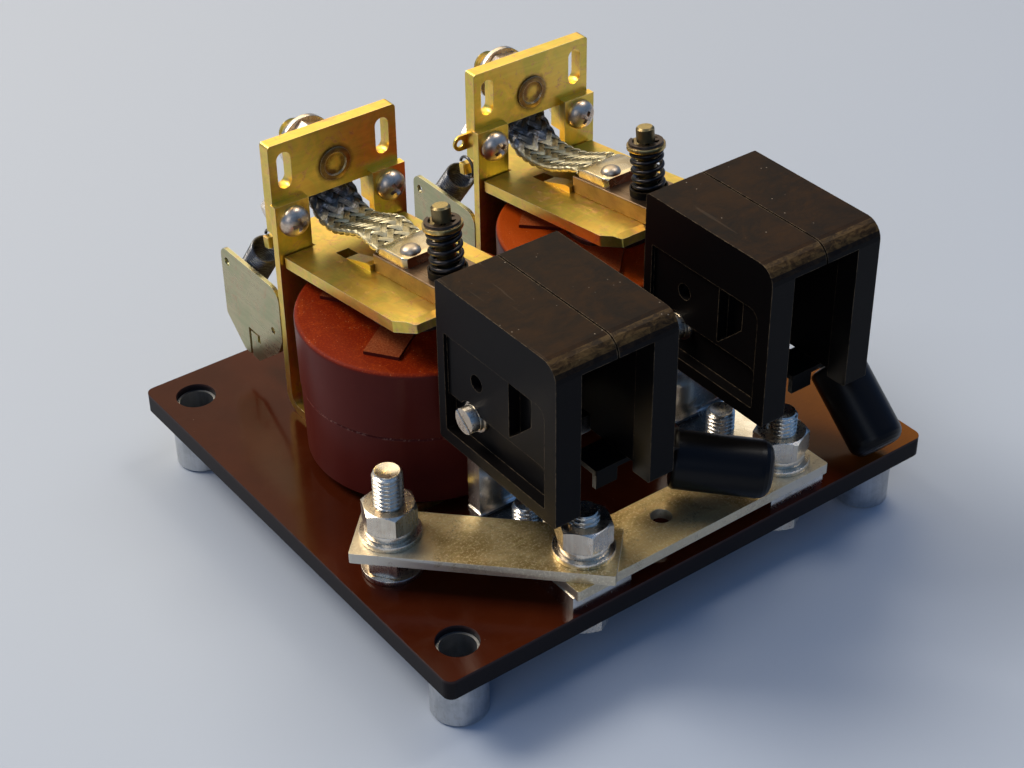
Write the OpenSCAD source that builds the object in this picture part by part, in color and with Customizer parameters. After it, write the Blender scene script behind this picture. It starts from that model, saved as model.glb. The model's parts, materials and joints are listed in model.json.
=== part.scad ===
// Pair of direct-current contactors on one insulating board.
// Millimetres. X runs along the board's front edge, Y to the rear, Z up.
// The origin lies under the board's centre, at the bottom of the spacer feet.

/* [Board] */
// Board length along X
board_w = 160; // [150:1:200]
// Board depth along Y
board_d = 150; // [150:1:190]
// Board thickness
board_t = 6; // [4:0.5:10]
// Corner radius of the board
board_corner_r = 2.5; // [1:0.5:6]
// Hole to hole distance of the feet along X
mount_pitch_x = 139; // [132:1:146]
// Hole to hole distance of the feet along Y
mount_pitch_y = 128; // [122:1:136]

/* [Spacer feet] */
// Height of the board's underside above the mounting surface
foot_h = 16; // [12:0.5:25]
// Outer radius of a spacer
foot_r = 7.5; // [6.5:0.25:9]
// Radius of the bolt hole through a spacer
foot_bore_r = 4.8; // [3:0.1:5]
// Radius of the spigot that stands in the board
foot_spigot_r = 5.5; // [5.3:0.1:6.2]
// Distance from the spigot's end to the board's top
foot_spigot_drop = 2; // [1:0.25:3]

/* [Layout] */
// Distance between the two contactor units
unit_pitch = 66; // [66:1:80]
// Offset of the pair from the board's centre along X
unit_shift = 2.7; // [0:0.1:4]
// Centre of the contact side against the unit's centre
contact_shift = -1.7; // [-3:0.1:0]

/* [Studs and nuts] */
// Radius of a terminal stud
stud_r = 4; // [3:0.25:4]
// Y of the front terminal studs
stud_y = -66; // [-68:0.5:-64]
// Y of the second screw in each contact foot
foot_screw_y = -42.7; // [-45:0.1:-42]
// Position of the outer supply stud along X
supply_stud_x = -66.5; // [-68:0.5:-66]
// Position of the outer supply stud along Y
supply_stud_y = -31.5; // [-33:0.5:-30]
// Top of the front studs above the board
stud_top = 24; // [22:0.5:28]
// Top of the supply stud above the board
supply_stud_top = 31; // [29:0.5:36]
// Nut size across flats
nut_af = 13; // [12:0.5:14]
// Nut height
nut_h = 6.4; // [5:0.1:7]
// Flat washer radius
washer_r = 8; // [7.5:0.25:9]
// Flat washer thickness
washer_t = 1.6; // [1:0.1:2]
// Spring washer radius
spring_washer_r = 6.6; // [6:0.1:7.4]
// Spring washer thickness
spring_washer_t = 2; // [1.5:0.1:2.5]
// Radial play of bolts and studs in their holes
bolt_play = 0.3; // [0.1:0.05:0.5]

/* [Link bars] */
// Width of the link bars
link_w = 18.5; // [17:0.5:20]
// Thickness of the link bars
link_t = 3; // [2:0.5:4]
// Length of a link bar past its stud
link_end = 9; // [8:0.5:10]
// Radius of the spare hole in the front link bar
link_hole_r = 2.8; // [2:0.1:3.5]

/* [Yoke] */
// Width of the yoke
yoke_w = 41.3; // [40:0.1:44]
// Thickness of the yoke plate
yoke_t = 2.5; // [2:0.1:3]
// Y of the yoke's front face
yoke_y = 41.5; // [41:0.25:43]
// Height of the ears above the board
ear_top = 65.3; // [64:0.1:68]
// Width of the notch between the ears
notch_w = 20.3; // [19:0.1:22]
// Inner bend radius of the yoke
yoke_bend_r = 3; // [2:0.5:4]
// Y of the foot's front end
yoke_foot_y = -18; // [-22:1:-10]
// Distance of the yoke's screws from the unit's centre
yoke_screw_x = 12; // [10:0.5:13]
// Distance of the yoke's screws behind the coil's axis
yoke_screw_back = 24; // [22:0.5:26]
// Radius of a domed screw head
dome_r = 4.4; // [4:0.1:4.6]
// Height of a plate screw's domed head
dome_h = 3.7; // [3:0.1:4]
// Radius of a plate screw's shank
plate_screw_r = 2; // [1.5:0.25:2.5]
// Distance of the plate screws from the unit's centre
plate_screw_x = 15.4; // [15:0.1:15.8]
// Height of the plate screws above the board
plate_screw_z = 60; // [59.5:0.1:60.8]

/* [Coil] */
// Radius of the potted coil
coil_r = 32.2; // [28:0.1:32.4]
// Height of the potted coil
coil_h = 42.1; // [38:0.1:43]
// Y of the coil's axis
coil_y = 7.5; // [7:0.25:8]
// Height of the seam above the coil's foot
coil_seam_h = 21.5; // [15:0.5:28]
// Radius of the iron core
core_r = 10; // [8:0.5:12]
// Radius of the pole shoe
pole_r = 13; // [12:0.5:18]
// Width of the four pads on the coil
pad_w = 9.7; // [6:0.1:11]
// Distance of a pad's outer end from the coil's axis
pad_reach = 25.3; // [22:0.1:27]
// Height of a pad
pad_h = 1; // [0.5:0.1:1.3]

/* [Armature] */
// Height of the knife edge above the board
hinge_h = 46.4; // [46:0.1:47]
// Angle of the open armature
open_angle = 7.9; // [6:0.1:9]
// Angle that the armature closes
close_angle = 7.5; // [5:0.1:7.5]
// Thickness of the armature
armature_t = 3.2; // [2.6:0.1:3.5]
// Width of the armature
armature_w = 39; // [37:0.5:40]
// Length of the armature in front of the knife edge
armature_len = 60; // [58:0.5:62]
// Length of the bevel along the armature's front edge
lip_len = 2.2; // [1:0.1:3]
// Drop of that bevel
lip_drop = 0.8; // [0.3:0.1:1.5]
// Length of the lugs cut out of the armature
lug_len = 11.7; // [9:0.1:13]
// Depth that the armature's underside lies under the groove's crown
groove_depth = 1; // [0.8:0.05:1.1]
// Running clearance of the groove on the knife edge
hinge_play = 0.05; // [0.02:0.01:0.1]
// Gap of the closed armature over the pole shoe
pole_gap = 0.35; // [0.3:0.05:0.6]

/* [Moving contact] */
// Thickness of the moving contact bar
arm_t = 5; // [4:0.25:5.5]
// Width of the moving contact bar
arm_w = 15.6; // [14:0.2:16]
// Centre of the bar against the unit's centre
arm_x = 0.8; // [0.4:0.1:1.2]
// Distance of the bar's rear end from the knife edge
arm_rear = 27.8; // [27:0.1:29]
// Distance of the bar's front end from the knife edge
arm_front = 100; // [96:0.5:102]
// Angle that the closed armature lifts from the bar
overtravel = 1.5; // [0.5:0.1:2]
// Distance of the contact tips from the knife edge
tip_reach = 89; // [86:0.5:91]
// Gap left between the tips when closed
tip_gap = 0.4; // [0.3:0.05:0.6]

/* [Post and contact spring] */
// Radius of the post
post_r = 2.5; // [2:0.1:2.6]
// Distance of the post from the knife edge
post_reach = 52.6; // [51:0.1:54]
// Height of the post's top above the armature
post_h = 24.2; // [23:0.1:26]
// Distance from the post's top to the clip
clip_drop = 4; // [3:0.1:5]
// Outer radius of the clip
clip_r = 4.7; // [4.2:0.1:5]
// Wire diameter of the contact spring
contact_wire = 1.4; // [1:0.05:1.5]
// Mean radius of the contact spring
contact_coil_r = 3.95; // [3.9:0.05:4.3]
// Curls of the contact spring
contact_curls = 4.5; // [3.5:0.5:5]

/* [Return spring] */
// Wire diameter of the return spring
return_wire = 0.9; // [0.7:0.05:0.95]
// Mean radius of the return spring
return_coil_r = 4.1; // [3.2:0.05:4.15]
// Curls of the return spring
return_curls = 10; // [7:1:10]
// Radius of the end hooks
hook_r = 3.1; // [2.9:0.05:3.15]
// X of the return spring against the unit's centre
return_x = -14.7; // [-14.8:0.1:-14]

/* [Braid] */
// Width of the braid
braid_w = 15; // [12:0.5:15.5]
// Thickness of the braid
braid_t = 1.9; // [1.6:0.1:2.2]
// Centre of the braid against the unit's centre
braid_x = 0.4; // [0:0.1:0.4]
// Width of the tab pressed on the braid's front end
tab_w = 14.4; // [12:0.2:15]
// Length of that tab
tab_len = 12.2; // [10:0.2:13]
// Thickness of that tab
tab_t = 2.9; // [2.4:0.1:3.4]
// Distance of the tab's rivet from the knife edge
rivet_reach = 39.2; // [38.5:0.1:40]
// X of the tab's rivet against the unit's centre
rivet_x = -2.2; // [-3:0.1:3]

/* [Terminal plate] */
// Width of the terminal plate
plate_w = 40; // [39:0.5:42]
// Thickness of the terminal plate
plate_t = 4; // [3:0.25:5]
// Height of the plate's top above the board
plate_top = 82.2; // [81:0.1:84]
// Height of the legs' ends above the board
plate_low = 55; // [54:0.1:56.5]
// Height of the notch's edge above the board
plate_notch = 63.5; // [63:0.1:64.5]
// Width of a cable slot
slot_w = 4.2; // [3.6:0.1:4.6]
// Length of a cable slot, end to end
slot_len = 10.7; // [9:0.1:12]
// Height of the slots' centres above the board
slot_z = 74; // [73.5:0.1:75]
// Height of the rear stud above the board
rear_stud_z = 70.9; // [70.5:0.1:71.5]
// Length of the rear stud behind the plate
rear_stud_len = 19; // [17:0.5:22]

/* [Spring bracket] */
// Sheet thickness of the spring bracket
bracket_t = 1.2; // [0.8:0.1:1.5]
// Y of the bracket's rear edge
bracket_rear = 75; // [70:0.5:75]
// Height of the bracket's upper edge above the board
bracket_top = 38; // [36:0.5:39]
// Height of the bracket's lower edge above the board
bracket_low = 7.5; // [6:0.5:9]
// Y of the tongue cut into the bracket
tongue_y = 58.5; // [58:0.25:60]
// Height of the tongue above the board
tongue_z = 16; // [15:0.25:17]
// Distance of the return spring's lower end from the bracket's rear edge
anchor_inset = 3.7; // [3.5:0.1:4.5]
// Height of the return spring's lower end above the board
anchor_z = 25.9; // [25:0.1:27]

/* [Fixed contact] */
// Thickness of the fixed contact bar
fixed_t = 5; // [4:0.25:5]
// Width of its foot
foot_w = 18.5; // [17:0.5:18.5]
// Width of its upright and table
upright_w = 17.6; // [16:0.2:17.6]
// Y of the foot's front end
foot_front = -73.5; // [-74:0.5:-73]
// Y of the upright's front face
upright_y = -34.1; // [-34.5:0.1:-33.8]
// Height of the table's top above the board
table_top = 43.5; // [43:0.1:44]
// Y of the table's front end
table_front = -57; // [-58:0.5:-54]
// Thickness of the fixed contact tip
fixed_tip_t = 3; // [2:0.25:3.5]

/* [Arc chute] */
// Width of the chute
chute_w = 36.5; // [36:0.25:38]
// Y of the chute's rear face
chute_rear = -25.6; // [-27:0.1:-25.6]
// Y of the chute's front face
chute_front = -73; // [-74:0.25:-72]
// Height of the chute's lower edge above the board
chute_low = 29; // [29:0.25:30]
// Height of the chute's top above the board
chute_top = 76; // [75:0.25:78]
// Centre of the chute against the unit's centre
chute_x = 2.2; // [2:0.1:2.4]
// Thickness of the side walls
chute_wall = 5; // [4.6:0.1:5.1]
// Thickness of the roof
chute_roof = 4; // [3:0.25:4.5]
// Width of a front leg
chute_leg = 7.5; // [7:0.25:8]
// Radius of the upper front edge
chute_round = 5; // [3:0.5:6]
// Width and depth of the seam between the halves
seam_w = 0.5; // [0.2:0.1:0.8]
// Depth of the recess in each side
recess_depth = 3.2; // [2:0.1:3.4]
// Radius of a chute screw's shank
chute_screw_r = 2; // [1.5:0.1:2.1]
// Radius of a chute screw's head
chute_head_r = 3.5; // [3:0.1:3.8]
// Radius of the washer under that head
chute_washer_r = 4.3; // [4:0.1:4.5]
// Radius of the vent in each side
vent_r = 2.3; // [1.5:0.1:2.5]

/* [Swinging grip] */
// Radius of the grip
grip_r = 7.7; // [7:0.1:7.8]
// Length of the grip
grip_len = 26; // [20:0.5:26]
// Distance from the pivot to the grip's root
grip_root = 5.5; // [5.5:0.25:7]
// Distance that the second unit's grip is pushed further on
grip_push = 6; // [3:0.25:6]
// Radius of the eye round the pivot
eye_r = 4.2; // [4:0.1:4.4]
// Height of the grip's axis above the board
grip_z = 21; // [20:0.1:21]
// X of the pivot against the unit's centre
pivot_x = 26.9; // [26.5:0.1:27.5]
// Y of the pivot
pivot_y = -56.6; // [-57:0.1:-56]
// Radius of the pivot pin
pivot_r = 2; // [1.5:0.1:2.5]
// Running clearance of the grip on its pin
pivot_play = 0.05; // [0.03:0.01:0.1]

/* [Hidden] */
$fn = 64;
unit_names = ["a", "b"];
grip_rest = [-40.5, -92.6];
grip_tilt = [6, 39];
coil_turn = [-10, 0];
seat_gap = 0.3;
board_top = foot_h + board_t;
hinge_y = yoke_y + yoke_t / 2;
hinge_z = board_top + hinge_h;
edge_r = yoke_t / 2;
groove_r = edge_r + hinge_play;
under = groove_r - groove_depth;
arm_seat = under + armature_t;
arm_top = arm_seat + arm_t;
coil_low = board_top + yoke_t;
coil_top = coil_low + coil_h;
rest_tilt = open_angle - close_angle;
pole_top = hinge_z + under * cos(rest_tilt) - pole_gap;
fixed_top = board_top + table_top + fixed_tip_t;
closed_tilt = rest_tilt + overtravel;
arm_pivot_closed = hinge_z + arm_rear * sin(rest_tilt) + arm_seat * cos(rest_tilt);
tip_back = tip_reach - 5 - arm_rear;
moving_tip_t = arm_pivot_closed + tip_back * sin(closed_tilt) - fixed_top - tip_gap;
stud_x = contact_shift;
link_low = board_top + fixed_t;
link_high = link_low + link_t;
link_angle = atan2(stud_y - supply_stud_y, unit_x(0) + stud_x - supply_stud_x);
link_span = norm([stud_y - supply_stud_y, unit_x(0) + stud_x - supply_stud_x]);
bolt_hole_r = stud_r + bolt_play;
plate_front = yoke_y + yoke_t;
plate_back = plate_front + plate_t;
bracket_x = -yoke_w / 2 - bracket_t / 2 + 1;
tag_t = 0.8;
chute_left = chute_x - chute_w / 2;
chute_right = chute_x + chute_w / 2;
chute_inner_left = chute_left + chute_wall;
chute_inner_right = chute_right - chute_wall;
table_mid = board_top + table_top - fixed_t / 2;
chute_screw_y = -37.8;
chute_washer_t = 0.8;
chute_spring_t = 1;
chute_head_h = 2.6;
contact_screw_rise = 6;
post_top = arm_seat + post_h;
clip_top = post_top - clip_drop;
clip_t = 0.8;
cup_t = 1.2;
cup_r = contact_coil_r + contact_wire / 2 + 0.6;
spring_low = arm_top + cup_t;
spring_high = clip_top - clip_t - cup_t;
tail_y = 12.9;
tail_z = under + armature_t / 2;
tail_bar = 2.6;
tab_front = rivet_reach + 3.1;
tab_rear = tab_front - tab_len;
anchor_y = bracket_rear - anchor_inset;

// Centre of unit 0 or 1 along X
function unit_x(i) = unit_shift + (i - 0.5) * unit_pitch;

// Vector of length one
function unit(v) = v / norm(v);

// A quarter turn to the left of a flat vector
function left(v) = [-v[1], v[0]];

// Arc that replaces corner q between its neighbours p and s
function corner(p, q, s, r, n) =
    r <= 0 ? [q] :
    let (a = unit(p - q), b = unit(s - q), half = acos(a * b) / 2,
        middle = q + unit(a + b) * r / sin(half),
        from = q + a * r / tan(half) - middle,
        to = q + b * r / tan(half) - middle,
        start = atan2(from[1], from[0]),
        turn = atan2(to[1], to[0]) - start,
        sweep = turn > 180 ? turn - 360 : turn < -180 ? turn + 360 : turn)
    [for (i = [0 : n]) middle + r * [cos(start + sweep * i / n), sin(start + sweep * i / n)]];

// Closed outline with a radius at each corner
function rounded(pts, rs, n = 6) =
    let (k = len(pts))
    [for (i = [0 : k - 1]) each corner(pts[(i + k - 1) % k], pts[i], pts[(i + 1) % k], rs[i], n)];

// Open path with a radius at each inner corner
function bent(pts, rs, n = 8) =
    let (k = len(pts) - 1)
    concat([pts[0]],
        [for (i = [1 : k - 1]) each corner(pts[i - 1], pts[i], pts[i + 1], rs[i - 1], n)],
        [pts[k]]);

// Side step of a path's point that keeps the strip's thickness through a turn
function side_step(path, i) =
    let (k = len(path) - 1,
        a = left(unit(path[max(i, 1)] - path[max(i, 1) - 1])),
        b = left(unit(path[min(i, k - 1) + 1] - path[min(i, k - 1)])),
        m = unit(a + b))
    m / (m * a);

// Outline of a strip of thickness t along a path
function strip(path, t) =
    let (k = len(path) - 1)
    concat([for (i = [0 : k]) path[i] + side_step(path, i) * t / 2],
        [for (i = [k : -1 : 0]) path[i] - side_step(path, i) * t / 2]);

// Outline of a rectangle with round corners
function plate_outline(w, d, r) =
    rounded([[w, d] / 2, [-w, d] / 2, [-w, -d] / 2, [w, -d] / 2], [r, r, r, r]);

// Least distance between two stretches of a wire, less its diameter
function least_gap(path, wire, skip) =
    min([for (i = [0 : len(path) - 1], j = [i + skip : 1 : len(path) - 1]) norm(path[i] - path[j])])
    - wire;

// Lower hook and lead-in of a tension spring, from its free end to the first curl
function hook(rh, rc, rise) = concat(
    [for (a = [-200 : 29 : 90]) [0, rh * cos(a), rh * sin(a)]],
    [for (t = [1 : 4]) let (f = t / 5, a = -90 + 120 * f)
        [rc * f * cos(a), rc * f * sin(a), rh + rise * f * f]]);

// Whole tension spring of the given distance between its hooks' centres
function tension_path(length, rh, rc, curls, rise) =
    let (low = hook(rh, rc, rise), n = curls * 8,
        from = rh + rise, to = length - rh - rise, turn = curls * 360 - 60,
        high = [for (p = low) [p[0], -p[1], length - p[2]]])
    concat(low,
        [for (i = [0 : n]) let (a = 30 + turn * i / n)
            [rc * cos(a), rc * sin(a), from + (to - from) * i / n]],
        [for (i = [len(high) - 1 : -1 : 0]) high[i]]);

// Compression spring between two seats
function compression_path(low, high, r, wire, curls) =
    let (n = curls * 8, from = low + wire / 2 + 0.05, to = high - wire / 2 - 0.05)
    [for (i = [0 : n]) let (a = 360 * i / 8) [r * cos(a), r * sin(a), from + (to - from) * i / n]];

// Tangent of a path at point i
function tangent(path, i) =
    unit(path[min(i + 1, len(path) - 1)] - path[max(i - 1, 0)]);

// Side vector carried along a path without twist
function carried(path, first) =
    [for (i = 0, s = first; i < len(path);
        i = i + 1,
        s = i < len(path) ? unit(s - tangent(path, i) * (tangent(path, i) * s)) : s) s];

// Wire along a path, with six sides
module wire(path, diameter) {
    k = len(path);
    start = tangent(path, 0);
    first = unit(cross(start, abs(start[2]) < 0.8 ? [0, 0, 1] : [1, 0, 0]));
    sides = carried(path, first);
    points = [for (i = [0 : k - 1], a = [0 : 60 : 300])
        path[i] + diameter / 2 * (cos(a) * sides[i] + sin(a) * cross(tangent(path, i), sides[i]))];
    walls = [for (i = [0 : k - 2], j = [0 : 5]) let (a = i * 6 + j, b = i * 6 + (j + 1) % 6)
        each [[a, b + 6, b], [a, a + 6, b + 6]]];
    caps = [for (j = [1 : 4]) each [[0, j, j + 1], [(k - 1) * 6, (k - 1) * 6 + j + 1, (k - 1) * 6 + j]]];
    polyhedron(points = points, faces = concat(walls, caps));
}

// Places its children in one contactor unit
module at_unit(i) {
    translate([unit_x(i), 0, 0]) children();
}

// Places its children in the frame of the open armature, with the knife edge as origin
module on_armature(i) {
    translate([unit_x(i), hinge_y, hinge_z]) rotate([-open_angle, 0, 0]) children();
}

// Extrudes a flat shape drawn in Y and Z along X, centred
module along_x(w) {
    rotate([90, 0, 90]) translate([0, 0, -w / 2]) linear_extrude(height = w) children();
}

// Extrudes a flat shape drawn in X and Z from y to y + depth
module along_y(y, depth) {
    translate([0, y + depth, 0]) rotate([90, 0, 0]) linear_extrude(height = depth) children();
}

// Rod along X from x to x + w
module rod_x(x, w, r) {
    translate([x, 0, 0]) rotate([0, 90, 0]) cylinder(h = w, r = r);
}

// Rod along Y from y to y + w
module rod_y(y, w, r) {
    translate([0, y, 0]) rotate([-90, 0, 0]) cylinder(h = w, r = r);
}

// Ring on the Z axis
module ring(low, h, outer, inner) {
    difference() {
        translate([0, 0, low]) cylinder(h = h, r = outer);
        translate([0, 0, low - 1]) cylinder(h = h + 2, r = inner);
    }
}

// Rod on the Z axis with bevelled ends
module stud(low, high, r, bevel) {
    rotate_extrude() polygon([[0, low], [r - bevel, low], [r, low + bevel],
        [r, high - bevel], [r - bevel, high], [0, high]]);
}

// Hexagon with turned corners, without a hole
module hexagon(low, h, af, top_bevel = true, low_bevel = true) {
    out = af / 2 / cos(30);
    cut = out - af / 2 * 0.98;
    intersection() {
        translate([0, 0, low]) cylinder(h = h, r = out, $fn = 6);
        rotate_extrude() polygon([[0, low], [low_bevel ? out - cut : out + 1, low],
            [out + (low_bevel ? 0 : 1), low + cut * 0.58],
            [out + (top_bevel ? 0 : 1), low + h - cut * 0.58],
            [top_bevel ? out - cut : out + 1, low + h], [0, low + h]]);
    }
}

// Nut with its bore on the Z axis
module nut(low, h, af, bore) {
    difference() {
        hexagon(low, h, af);
        translate([0, 0, low - 1]) cylinder(h = h + 2, r = bore);
    }
}

// Split spring washer, one end lifted by its cut
module split_washer(low) {
    difference() {
        ring(low, spring_washer_t, spring_washer_r, stud_r + bolt_play / 2);
        translate([stud_r - 1, -0.6, low - 1]) rotate([12, 0, 0]) cube([6, 0.9, 5]);
    }
}

// Domed screw on the Z axis, its head seated at z = 0 and its shank below
module pan_screw(head_r, head_h, shank_r, shank_len) {
    rim = head_h * 0.12;
    dome = [for (a = [0 : 10 : 80]) [head_r * cos(a), rim + (head_h - rim) * sin(a)]];
    rotate_extrude() polygon(concat([[0, -shank_len], [shank_r, -shank_len], [shank_r, 0], [head_r, 0]],
        dome, [[0, head_h]]));
}

module base_board() {
    color([0.42, 0.16, 0.09]) difference() {
        translate([0, 0, foot_h]) linear_extrude(height = board_t)
            polygon(plate_outline(board_w, board_d, board_corner_r));
        at_feet() translate([0, 0, foot_h - 1]) cylinder(h = board_t + 2, r = foot_spigot_r + 0.1);
        at_bolts() translate([0, 0, foot_h - 1]) cylinder(h = board_t + 2, r = bolt_hole_r);
        at_contact_screws() translate([0, 0, foot_h - 1]) cylinder(h = board_t + 2, r = bolt_hole_r);
        at_yoke_screws() translate([0, 0, foot_h - 1]) cylinder(h = board_t + 2, r = 2.5 + bolt_play);
    }
}

// The four corners where the feet stand
module at_feet() {
    for (x = [-1, 1], y = [-1, 1])
        translate([x * mount_pitch_x / 2, y * mount_pitch_y / 2, 0]) children();
}

// The front studs and the supply stud
module at_bolts() {
    for (i = [0, 1]) translate([unit_x(i) + stud_x, stud_y, 0]) children();
    translate([supply_stud_x, supply_stud_y, 0]) children();
}

module at_contact_screws() {
    for (i = [0, 1]) translate([unit_x(i) + stud_x, foot_screw_y, 0]) children();
}

module at_yoke_screws() {
    for (i = [0, 1], x = [-1, 1])
        translate([unit_x(i) + x * yoke_screw_x, coil_y + yoke_screw_back, 0]) children();
}

module spacer_feet() {
    color([0.75, 0.76, 0.78]) at_feet() difference() {
        rotate_extrude() polygon([[0, 0], [foot_r - 0.5, 0], [foot_r, 0.5], [foot_r, foot_h],
            [foot_spigot_r, foot_h], [foot_spigot_r, board_top - foot_spigot_drop],
            [0, board_top - foot_spigot_drop]]);
        translate([0, 0, -1]) cylinder(h = board_top + 2, r = foot_bore_r);
    }
}

// Bolt that comes up through the board, its head underneath
module board_bolt(top) {
    hexagon(foot_h - 5.3, 5.3, nut_af, top_bevel = false);
    stud(foot_h - 1, board_top + top, stud_r, 0.8);
}

module terminal_bolts() {
    color([0.72, 0.73, 0.74]) {
        for (i = [0, 1]) translate([unit_x(i) + stud_x, stud_y, 0]) board_bolt(stud_top);
        translate([supply_stud_x, supply_stud_y, 0]) board_bolt(supply_stud_top);
    }
}

module contact_screws() {
    color([0.72, 0.73, 0.74]) at_contact_screws() {
        hexagon(foot_h - 5.3, 5.3, nut_af, top_bevel = false);
        stud(foot_h - 1, board_top + fixed_t + contact_screw_rise, stud_r, 0.8);
    }
}

module yoke_screws() {
    color([0.66, 0.66, 0.66]) at_yoke_screws() translate([0, 0, foot_h]) mirror([0, 0, 1])
        pan_screw(dome_r, 3, 2.5, board_t + yoke_t);
}

// Heights where the washers over each bar begin: left front, right front, supply stud
function over_bar(i) = i == 0 ? link_high + link_t : link_high;
supply_nut_low = board_top + washer_t;

module flat_washers() {
    color([0.78, 0.78, 0.76]) {
        for (i = [0, 1]) translate([unit_x(i) + stud_x, stud_y, 0])
            ring(over_bar(i), washer_t, washer_r, stud_r + bolt_play / 2);
        translate([supply_stud_x, supply_stud_y, 0]) {
            ring(board_top, washer_t, washer_r, stud_r + bolt_play / 2);
            ring(link_high + link_t, washer_t, washer_r, stud_r + bolt_play / 2);
        }
        for (i = [0, 1]) at_unit(i) translate([0, 0, board_top + rear_stud_z]) rotate([-90, 0, 0]) {
            ring(plate_back + braid_t, washer_t, washer_r, stud_r + bolt_play / 2);
            ring(plate_back + braid_t + washer_t + nut_h, washer_t, washer_r, stud_r + bolt_play / 2);
        }
    }
}

module spring_washers() {
    color([0.7, 0.7, 0.7]) {
        for (i = [0, 1]) translate([unit_x(i) + stud_x, stud_y, 0]) split_washer(over_bar(i) + washer_t);
        translate([supply_stud_x, supply_stud_y, 0]) split_washer(link_high + link_t + washer_t);
    }
}

module terminal_nuts() {
    color([0.75, 0.76, 0.77]) {
        for (i = [0, 1]) translate([unit_x(i) + stud_x, stud_y, 0])
            rotate(i * 14 + 8) nut(over_bar(i) + washer_t + spring_washer_t, nut_h, nut_af, stud_r + 0.02);
        translate([supply_stud_x, supply_stud_y, 0]) {
            rotate(6) nut(supply_nut_low, link_high - supply_nut_low, nut_af, stud_r + 0.02);
            rotate(8) nut(link_high + link_t + washer_t + spring_washer_t, nut_h, nut_af, stud_r + 0.02);
        }
    }
}

module link_bar_supply() {
    color([0.72, 0.66, 0.52]) translate([supply_stud_x, supply_stud_y, link_high]) rotate(link_angle)
        difference() {
            translate([link_span / 2, 0, 0]) linear_extrude(height = link_t)
                polygon(plate_outline(link_span + 2 * link_end, link_w, 0.6));
            for (x = [0, link_span]) translate([x, 0, -1]) cylinder(h = link_t + 2, r = bolt_hole_r);
        }
}

module link_bar_front() {
    mid = unit_x(0) + stud_x + unit_pitch / 2;
    color([0.76, 0.72, 0.6]) difference() {
        translate([mid, stud_y, link_low]) linear_extrude(height = link_t)
            polygon(plate_outline(unit_pitch + 2 * link_end, link_w, 0.6));
        for (i = [0, 1]) translate([unit_x(i) + stud_x, stud_y, link_low - 1])
            cylinder(h = link_t + 2, r = bolt_hole_r);
        translate([mid - 7, stud_y + 1, link_low - 1]) cylinder(h = link_t + 2, r = link_hole_r);
    }
}

module yoke(i) {
    mid = yoke_y + yoke_t / 2;
    floor_z = board_top + yoke_t / 2;
    path = bent([[mid, board_top + ear_top], [mid, floor_z], [yoke_foot_y, floor_z]],
        [yoke_bend_r + yoke_t / 2]);
    color([0.72, 0.58, 0.25]) at_unit(i) {
        difference() {
            along_x(yoke_w) polygon(strip(path, yoke_t));
            translate([-notch_w / 2, yoke_y - 1, hinge_z]) cube([notch_w, yoke_t + 2, ear_top]);
            for (x = [-1, 1]) translate([x * plate_screw_x, 0, board_top + plate_screw_z])
                rod_y(yoke_y - 1, yoke_t + 2, plate_screw_r + bolt_play);
            for (x = [-1, 1]) translate([x * yoke_screw_x, coil_y + yoke_screw_back, board_top - 1])
                cylinder(h = yoke_t + 2, r = 2.5);
        }
        translate([0, hinge_y, hinge_z]) rod_x(-notch_w / 2, notch_w, edge_r);
    }
}

module coil(i) {
    ease = [for (a = [0 : 15 : 90]) [coil_r - 1.2 + 1.2 * cos(a), coil_top - 1.2 + 1.2 * sin(a)]];
    profile = concat([[core_r, coil_low], [coil_r - 1.8, coil_low], [coil_r - 1, coil_low + 0.8],
        [coil_r - 0.5, coil_low + coil_seam_h - 0.4], [coil_r - 0.9, coil_low + coil_seam_h],
        [coil_r - 0.3, coil_low + coil_seam_h + 0.4]], ease, [[core_r, coil_top]]);
    color([0.6, 0.2, 0.1]) at_unit(i) {
        translate([0, coil_y, 0]) rotate_extrude($fn = 96) polygon(profile);
        for (a = [45 : 90 : 315]) translate([0, coil_y, 0]) rotate(a + coil_turn[i])
            translate([pole_r + 0.4, -pad_w / 2, coil_top - 0.2])
                cube([pad_reach - pole_r - 0.4, pad_w, pad_h + 0.2]);
    }
}

module core(i) {
    color([0.55, 0.55, 0.56]) at_unit(i) translate([0, coil_y, 0]) rotate_extrude()
        polygon([[0, coil_low], [core_r, coil_low], [core_r, coil_top], [pole_r, coil_top],
            [pole_r, pole_top - 0.4], [pole_r - 0.4, pole_top], [0, pole_top]]);
}

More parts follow.
